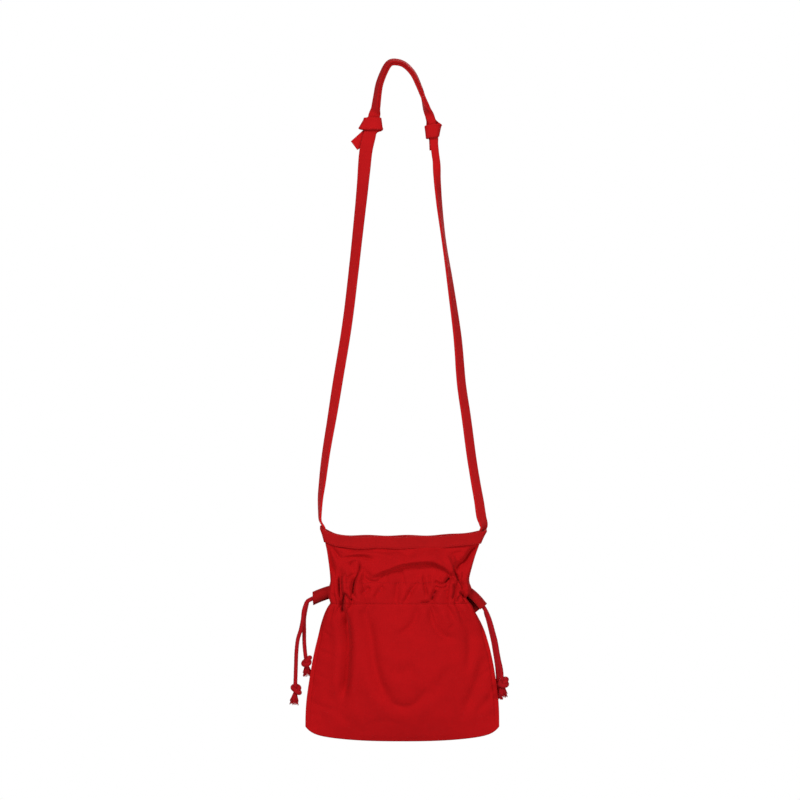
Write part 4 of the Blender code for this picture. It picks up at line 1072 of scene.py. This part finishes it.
def make_cord_end(name, side_sign, spin, seed):
    """A drawcord's free end from inside its sleeve down to its knot and frayed tail."""
    offsets = np.array(CORD_ROUTES[name]) / 1000
    sleeve = sleeve_line(side_sign)
    mouth = sleeve[-1]
    route = mouth + offsets
    beside = (0, offsets[0][1], 0)
    line = resampled(np.concatenate([[sleeve[-3] + beside], [mouth + beside], route]), CORD_STEP)
    way = unit(route[-1] - route[-2])
    cord = joined(name, [braided(line, CORD_RADIUS)], cord_finish)
    centre = line[-1] + way * (KNOT_HALF - KNOT_OVERLAP)
    knot_line = resampled(turned(KNOT_LINE, way, spin) + centre, CORD_STEP * 1.3)
    if np.linalg.norm(knot_line[0] - line[-1]) > np.linalg.norm(knot_line[-1] - line[-1]):
        knot_line = knot_line[::-1]
    share = np.linspace(0, 1, len(knot_line))
    swollen = CORD_RADIUS * (1 + KNOT_SWELL * ease(np.minimum(share, 1 - share) / KNOT_SWELL_RUN))
    knot = joined(f"{name}_knot", [braided(knot_line, swollen[:, None])], cord_finish)
    end = knot_line[-1]
    tail_way = unit(way + TAIL_SWING * unit(end - knot_line[-4]))
    tail = joined(f"{name}_fray", frayed(end, tail_way, seed), cord_finish)


# The cord's run inside the neck: how far it keeps from the sides, and its lie at the sleeve's root.
LOOP_FROM_SIDE = 0.017
LOOP_TURN_FROM_SIDE, LOOP_TURN_HALF = 0.0045, 0.004
LOOP_STEP = 0.002


def make_hidden_loop(name, side_sign, replaced):
    """The part of a drawcord inside the neck, through its sleeve and round behind both casings."""
    sleeve = sleeve_line(side_sign)
    apart = CORD_RADIUS + GAP
    reach = side_sign * (1 - LOOP_FROM_SIDE / NECK_HALF)
    rise = CORD_RADIUS + GAP + 0.0002

    def level(u):
        return float(height_z(0, CASING_MIDDLE)) + rise * (u - side_sign)

    def strand(side):
        points = [np.array([x, side * apart, z]) for x, _, z in sleeve[-3:0:-1]]
        points.append(np.array([sleeve[0][0] - side_sign * 0.0035, side * (apart + 0.0006), sleeve[0][2]]))
        for u in np.linspace(reach, -reach, 7):
            x, y, _ = base_points(side, u, CASING_MIDDLE)
            points.append(np.array([x, y - side * (CLOTH / 2 + CORD_ROOM + CORD_RADIUS), level(u)]))
        return points

    far_edge = NECK_OFFSET - side_sign * (NECK_HALF - LOOP_TURN_FROM_SIDE - CORD_RADIUS)
    turn = [np.array([far_edge, side * LOOP_TURN_HALF, level(-side_sign)]) for side in (FRONT, BACK)]
    line = resampled(strand(FRONT) + turn + strand(BACK)[::-1], LOOP_STEP)
    joined(name, [round_tube(line, CORD_RADIUS, 16)], cord_finish, replaced)


make_cord_end("left_outer_cord", LEFT, 2.2, 0.4)
make_cord_end("left_inner_cord", LEFT, 0.6, 1.9)
make_cord_end("right_front_cord", RIGHT, 1.2, 2.7)
make_cord_end("right_back_cord", RIGHT, 2.9, 4.1)
make_hidden_loop("left_cord_inside", LEFT, ["left_drawcord"])
make_hidden_loop("right_cord_inside", RIGHT, ["right_drawcord"])

SLEEVE_STEP = 0.0007
SLEEVE_STRAIGHT = 0.6
SLEEVE_OPEN = 0.6  # the turn in radians that is left open before the back layer hangs straight
SLEEVE_WRINKLES, SLEEVE_CURVES = 0.00045, 0.0003
WRINKLED_SHARE = 0.35
BEHIND_CORDS = 0.0016  # how far before the cords' middle plane the back layer's edge hangs
# Painted shade on the sleeve's back layer where it shows below the front layer.
UNDERSIDE_PAINTED_SHADE = 0.85


def make_sleeve(name, side_sign, shown, lift, skew, front_reach, back_reach, replaced):
    """A strip of twill tape folded over the cords: its fold is on top, and below them its back layer
    hangs lower than its front one."""
    bent = resampled(sleeve_line(side_sign), SLEEVE_STEP)
    share = np.linspace(0, 1, len(bent))[:, None]
    line = mix(bent, mix(bent[0], bent[-1], share), SLEEVE_STRAIGHT)[:round(shown * len(bent))] + (0, 0, lift)
    up = frames_along(line, (0, 0, 1))[2]
    here = (lengths_along(line) / lengths_along(line)[-1])[:, None]
    depth = SLEEVE_BORE_DEPTH + SLEEVE_WALL / 2
    height = SLEEVE_BORE_HEIGHT + SLEEVE_WALL / 2
    angle = np.linspace(math.acos(front_reach / height), 2 * math.pi - SLEEVE_OPEN, 60)
    hang = np.linspace(0, 1, 14)[1:]
    out = np.concatenate([np.sin(angle) * depth, mix(math.sin(angle[-1]) * depth, -BEHIND_CORDS, hang)])
    rise = np.concatenate([-np.cos(angle) * height, mix(-math.cos(angle[-1]) * height, -back_reach, hang)])
    wrinkle = SLEEVE_WRINKLES * np.sin(900 * rise + 9 * here) * (1 - ease(here / WRINKLED_SHARE))
    wrinkle += SLEEVE_CURVES * np.sin(11 * here + 300 * rise)
    points = line[:, None] + up[:, None] * rise[:, None] + np.array([0, -1, 0]) * (out + wrinkle)[..., None]
    points += unit(line[-1] - line[-6]) * (here ** 2 * skew * rise)[..., None]
    # Painted shade: the whole sleeve a little darker, and its back layer much darker where it turns down
    # below the cords, fading towards its lower edge.
    sleeve_shade_paint = np.concatenate([mix(SLEEVE_PAINTED_SHADE, UNDERSIDE_PAINTED_SHADE, ease((angle - 5.0) / 0.7)),
                             mix(UNDERSIDE_PAINTED_SHADE, SLEEVE_PAINTED_SHADE, hang)])
    cloth_sheet(name, points, SLEEVE_WALL * 0.8, tape_finish_painted_darker, replaced, side_sign == LEFT,
                inside=sleeve_shade_paint)


make_sleeve("left_sleeve_cloth", LEFT, 0.79, 0.0016, -0.36, 0.0056, 0.008, ["left_sleeve"])
make_sleeve("right_sleeve_cloth", RIGHT, 0.87, 0.0002, 0.1, 0.0036, 0.0114, ["right_sleeve"])


# The pouch's panels, casings and bindings

UNSEWN_ENDS = 6  # columns at each side of a panel
STRIP_FROM_SIDE = 0.02
STRIP_RIPPLE = 0.0005
# The binding: how far up its loose lower edge reaches, how that waves and stands off, and how the
# whole tape waves up and down.
LOOSE_RISE, LOOSE_WAVE, STAND_OFF, BINDING_WAVE = 0.006, 0.0004, 0.00025, 0.0005
STITCHED_ROW = 2


def make_panel(name, side, columns, fine, replaced):
    """A panel's cloth, below its casing's lower stitching and above it, with both rows of stitches."""
    points, h, sewn, inside = panel_surface(side, panel_columns(columns), fine)
    below = cloth_sheet(f"{name}_body", points[:sewn + 1], CLOTH, cloth_finish, replaced,
                        side == BACK, inside=inside[:sewn + 1])
    above = cloth_sheet(f"{name}_neck", points[sewn:], CLOTH, cloth_finish, replaced,
                        side == BACK, start=SEWN_ROWS[0], inside=inside[sewn:])
    out = grid_normals(points, side)
    inner = slice(UNSEWN_ENDS, -UNSEWN_ENDS)
    runs = []
    for height in SEWN_ROWS:
        row = int(np.argmin(np.abs(h[:, columns // 2] - height)))
        runs.append((points[row, inner] + out[row, inner] * CLOTH / 2, out[row, inner]))
    sewing = stitches(f"{name}_stitches", runs)


def make_casing(name, side, replaced):
    """The strip inside the neck that the cords run behind."""
    rows = np.linspace(0.01, 0.99, 24)[:, None]
    room = CLOTH + GAP + (CASING_ROOM - CLOTH - GAP) * ease((0.5 - np.abs(rows - 0.5)) / 0.2)
    u = np.linspace(-1, 1, 90) * (1 - STRIP_FROM_SIDE / NECK_HALF)
    points = base_points(side, u[None], mix(CASING_FROM_BOTTOM, CASING_TOP, rows))
    ripple = STRIP_RIPPLE * np.sin(u * 46 + side) * np.sin(math.pi * rows)
    points[..., 1] -= side * (room + np.abs(ripple))
    strip = cloth_sheet(name, points, CLOTH, cloth_finish, replaced, side == FRONT)


def make_binding(name, side, replaced):
    """The twill tape folded over the mouth's edge, with its row of stitches along the lower edge."""
    u = np.linspace(-1, 1, 190)
    crown = BINDING_GAP + BINDING_THICKNESS / 2
    outer = [(BINDING_OFFSET, h, 0) for h in np.linspace(BINDING_LOW, PANEL_TOP, 16)]
    over = [(BINDING_OFFSET * math.cos(a), PANEL_TOP, crown * math.sin(a))
            for a in np.linspace(0, math.pi, 9)]
    rows = []
    ways = []
    for offset, h, rise in outer + over[1:-1] + [(-o, h, r) for o, h, r in outer[::-1]]:
        surface = base_points(side, u, h)
        run = np.gradient(surface, axis=0)
        ways.append(unit(np.stack([run[:, 1], -run[:, 0], np.zeros(len(u))], 1)) * -side)
        low = 1 - ease((h - BINDING_LOW) / LOOSE_RISE)
        wave = LOOSE_WAVE * np.sin(u * 9 + 1.3) * low if offset > 0 else 0
        out = offset + wave + STAND_OFF * low * np.sign(offset)
        up = rise + BINDING_WAVE * np.sin(u * 13 + side)
        rows.append(surface + ways[-1] * np.reshape(out, (-1, 1)) + np.array([0, 0, 1]) * up[:, None])
    points = np.array(rows)
    cloth_sheet(name, points, BINDING_THICKNESS, tape_finish_painted_darker, replaced, side == BACK)
    inner = slice(4, -4)
    out = ways[STITCHED_ROW][inner]
    stitches(f"{name}_stitches", [(points[STITCHED_ROW, inner] + out * BINDING_THICKNESS / 2, out)])


make_panel("front_cloth", FRONT, 310, 1.0, ["front_panel"])
make_panel("back_cloth", BACK, 190, 0.7, ["back_panel"])
make_casing("front_casing_strip", FRONT, ["front_casing"])
make_casing("back_casing_strip", BACK, ["back_casing"])
make_binding("front_binding_tape", FRONT, ["front_binding"])
make_binding("back_binding_tape", BACK, ["back_binding"])


# The strap's two halves and their knots

def upright(lean):
    return Vector((math.cos(lean), 0, -math.sin(lean))), Vector((math.sin(lean), 0, math.cos(lean)))


def hanging_stretch(knot_point, corner, sway, turn, outer, width):
    """Stations from a little below a knot down to the mouth's corner: places, ways across and widths."""
    stations = []
    for t in np.linspace(0, 1, 25):
        angle = math.radians(float(through(turn, t)))
        stations.append((knot_point.lerp(corner, t) + Vector((float(through(sway, t)) / 1000, 0, 0)),
                         Vector((math.cos(angle), outer * math.sin(angle), 0)),
                         mix(width, TAPE_WIDTH, float(ease(t * 7)))))
    return stations


def arch_stations(layer):
    """Stations along the arch from left to right, for the outer (1) or inner (-1) layer of tape."""
    lift = ((PITCH + TAPE_THICKNESS) * math.sin(ARCH_CROWN_TURN)
            + ARCH_TAPE_WIDTH * math.cos(ARCH_CROWN_TURN)) / 2
    line = [(i, (x / 1000, 0, z / 1000 + lift)) for i, (x, z, _) in enumerate(ARCH)]
    turns = [(i, math.radians(turn)) for i, (_, _, turn) in enumerate(ARCH)]
    stations = []
    for s in np.linspace(0, len(ARCH) - 1, 3 * (len(ARCH) - 1) + 1):
        along = (Vector(through(line, s + 0.05)) - Vector(through(line, s - 0.05))).normalized()
        turn = float(through(turns, s))
        face = Vector((0, -math.cos(turn), 0)) + Vector((-along.z, 0, along.x)) * math.sin(turn)
        here = Vector(through(line, s)) + face * layer * PITCH / 2
        stations.append((here, along.cross(face), ARCH_TAPE_WIDTH))
    return stations


def edged(one, other, y):
    """A station whose tape reaches from one edge to the other, each across and up in millimetres."""
    x1, z1, x2, z2 = (value / 1000 for value in one + other)
    across = Vector((x1 - x2, 0, z1 - z2))
    return ((x1 + x2) / 2, y, (z1 + z2) / 2), across, across.length


def around(side_x, centre_y, radius, from_back, levels, slant, width, tilt=0.0):
    """Stations in a half turn round a strap's edge, at one height each."""
    stations = []
    for i, z in enumerate(levels):
        angle = math.pi * i / (len(levels) - 1)
        x = side_x + math.copysign(radius * math.sin(angle), side_x)
        y = centre_y + (radius if from_back else -radius) * math.cos(angle)
        stations.append(((x, y, z), Vector((tilt + slant * math.sin(angle), 0, 1)), width))
    return stations


def placed(knot, lean, stations, flip):
    """A knot's own stations, moved to its place on the strap."""
    right, up = upright(lean)
    return [(knot + right * x + Vector((0, y, 0)) + up * z,
             (right * across.x + up * across.z).normalized() * flip, width)
            for (x, y, z), across, width in stations]


def left_knot():
    """The end of the right strap, tied round the left one."""
    half, band = 0.0072, 0.014
    return placed(LEFT_KNOT, LEFT_KNOT_LEAN, [
        edged((-5, 10.6), (6.6, 8.6), 2 * PITCH),
        edged((-5.6, 9.3), (5.6, 1.2), 2 * PITCH),
        edged((-6.2, 8), (1, -4.8), 2 * PITCH),
        edged((-6.8, 6.6), (-4, -7.2), 2 * PITCH),
        *around(-half, PITCH / 2, 1.5 * PITCH, True,
                (-0.0012, -0.0018, -0.0022, -0.0024, -0.0023, -0.002, -0.0016), 0.42, band, -0.1),
        ((-0.003, -PITCH - GAP, -0.0004), Vector((-0.16, 0, 1)), band + 0.0006),
        ((0.003, -PITCH - GAP, 0.001), Vector((-0.24, 0, 1)), band + 0.0002),
        *around(half, 0, PITCH, False, (0.0019, 0.0026, 0.0024, 0.0012, -0.0002), -0.14, band, -0.24),
        edged((3.8, 5), (6.8, -8), PITCH),
        edged((-2.2, 2), (6, -10.4), PITCH),
        edged((-6.8, -6), (4.6, -14.2), PITCH),
        edged((-13.8, -16.8), (-1.6, -24), PITCH),
        edged((-20.4, -26.4), (-8.8, -31.2), PITCH),
    ], -1)


def right_knot():
    """The end of the left strap, tied round the right one."""
    half, band = 0.0048, 0.015
    return placed(RIGHT_KNOT, RIGHT_KNOT_LEAN, [
        edged((4.8, 14.2), (-6, 12.6), 2 * PITCH),
        edged((6.2, 12.8), (-5.6, 4.5), 2 * PITCH),
        edged((6.6, 11.4), (-2.4, -3), 2 * PITCH),
        edged((6.6, 10), (1.6, -6), 2 * PITCH),
        *around(half - 0.0012, PITCH / 2, 1.5 * PITCH, True, (0.0012, 0.001, 0.0006, 0.0002, 0, 0, 0),
                0.24, band, 0.1),
        ((0, -PITCH - GAP, -0.0002), Vector((0, 0, 1)), band),
        *around(-half, 0, PITCH, False, (-0.0002, -0.0004, -0.0006, -0.0008, -0.001), 0, band),
        edged((-2, 5.8), (-4.4, -8.8), PITCH),
        edged((2.8, 2), (-4.2, -10), PITCH),
        edged((4.8, -6.2), (-4.8, -11.6), PITCH),
        edged((4.8, -13), (-5.6, -14.2), PITCH),
        edged((4.4, -21.5), (-6.2, -22), PITCH),
    ], 1)


def strap_root(side_sign):
    """The middles of a strap inside its corner of the mouth, and above it up to where it is free."""
    inside = BINDING_OFFSET + BINDING_THICKNESS / 2 + 2 * GAP + TAPE_THICKNESS / 2
    points = []
    for h in (BAG_HEIGHT - STRAP_ROOT, BINDING_LOW, PANEL_TOP):
        x = float(centre_x(h)) + side_sign * (float(half_width(h)) - inside)
        points.append(Vector((x, 0, float(height_z(side_sign, h)))))
    over_edge = points[-1] + Vector((side_sign * 0.0008, 0, 0.0032))
    return points + [over_edge] + [over_edge + Vector((0, 0, rise)) for rise in (EDGE_RISE, CORNER_RISE)]


def tape_section():
    """The outline of the folded tape's end, across and thick, each from -1 to 1: one long edge is the
    fold, and the other shows its two layers."""
    flat = np.linspace(-0.9, 0.9, 11)
    rim = [(0.975, 0.72), (1.0, 0.42), (0.972, 0.0), (1.0, -0.42), (0.975, -0.72)]
    fold = [(-0.965, -0.78), (-0.998, -0.35), (-1.0, 0.0), (-0.998, 0.35), (-0.965, 0.78)]
    return np.array([(s, 1.0) for s in flat] + rim + [(s, -1.0) for s in flat[::-1]] + fold)


BELOW_KNOT = 0.036
KNOT_LEVELS = (-0.027, -0.018, -0.009, 0)
STRAP_STEP = 0.0013
LAYERS_TOUCH = 1.04
SEAM_AT = 0.78
SEAM_WIDE, SEAM_GROOVE, THREAD_AT = 0.05, 0.16, 0.86
CUP, WANDER = 0.00022, 0.012


def strap_stations(side_sign, root_lie, knot, lean, sway, turn, top, widths, arch, end_knot):
    """The strap half's way: places of its middle, ways across it, and its widths."""
    right, up = upright(lean)
    stations = []
    for point, (out, degrees) in zip(strap_root(side_sign), root_lie):
        angle = math.radians(degrees)
        across = Vector((math.cos(angle), side_sign * math.sin(angle), 0))
        stations.append((point + Vector((out, 0, 0)), across, TAPE_WIDTH))
    corner = stations.pop()[0]
    stations += hanging_stretch(knot - up * BELOW_KNOT, corner, sway, turn, side_sign, widths[0])[::-1]
    stations += [(knot + up * z, right, width) for z, width in zip((*KNOT_LEVELS, top), widths)]
    return [np.array(values) for values in zip(*(stations + arch + end_knot))]


def make_strap(name, side_sign, way, tone, replaced):
    """One half of the strap, from inside its corner of the mouth up through the knot in the other's
    end, over the arch, and down to its own knot round the other half."""
    here = lengths_along(way[0])
    at = np.linspace(0, here[-1], round(here[-1] / STRAP_STEP))
    line, side, width = (through(list(zip(here, values)), at) for values in way)
    along = unit(np.gradient(line, axis=0))
    side = unit(side - along * (side * along).sum(1, keepdims=True))
    face = np.cross(along, side)
    section = tape_section()
    s, n = section.T
    thick = TAPE_THICKNESS / 2 * LAYERS_TOUCH
    groove = np.exp(-((s - SEAM_AT) / SEAM_WIDE) ** 2) * np.abs(n) ** 4
    thickness = thick * n * (1 - SEAM_GROOVE * groove)
    wander = np.array([noise.noise((a * 60, side_sign * 2.0, 0)) for a in at])
    cup = CUP * np.array([noise.noise((a * 25, side_sign * 5.0, 3)) for a in at])
    rings = (line[:, None] + side[:, None] * (s[:, None] * (width / 2 * (1 + WANDER * wander))[:, None, None])
             + face[:, None] * (thickness[None] + cup[:, None] * s[None] ** 2)[..., None])
    coords = np.empty(rings.shape)
    coords[..., 0] = lengths_along(section * (TAPE_WIDTH / 2, thick))
    coords[..., 1] = at[:, None]
    # Painted shade: the tape darker up towards its knots and the arch.
    coords[..., 2] = through(tone, line[:, 2])[:, None]
    make_object(name, rings.reshape(-1, 3), tube_faces(*rings.shape[:2]), coords.reshape(-1, 3), strap_finish_painted_lighter,
                replaced)
    seam = line + side * (width / 2 * SEAM_AT)[:, None]
    lift = face * thick * THREAD_AT
    inner = slice(2, -2)
    stitches(f"{name}_stitches", [((seam + lift)[inner], face[inner]), ((seam - lift)[inner], -face[inner])])


left_way = strap_stations(LEFT, LEFT_ROOT, LEFT_KNOT, LEFT_KNOT_LEAN, LEFT_SWAY, LEFT_TURN, 0.0085,
                          (0.015, 0.015, 0.0145, 0.014, 0.0135), arch_stations(1), right_knot())
right_way = strap_stations(RIGHT, RIGHT_ROOT, RIGHT_KNOT, RIGHT_KNOT_LEAN, RIGHT_SWAY, RIGHT_TURN, 0.013,
                           (0.0088, 0.009, 0.0092, 0.0092, 0.0092), arch_stations(-1)[::-1], left_knot())
make_strap("left_strap_tape", LEFT, left_way, LEFT_PAINTED_SHADE, ["left_strap"])
make_strap("right_strap_tape", RIGHT, right_way, RIGHT_PAINTED_SHADE, ["right_strap"])
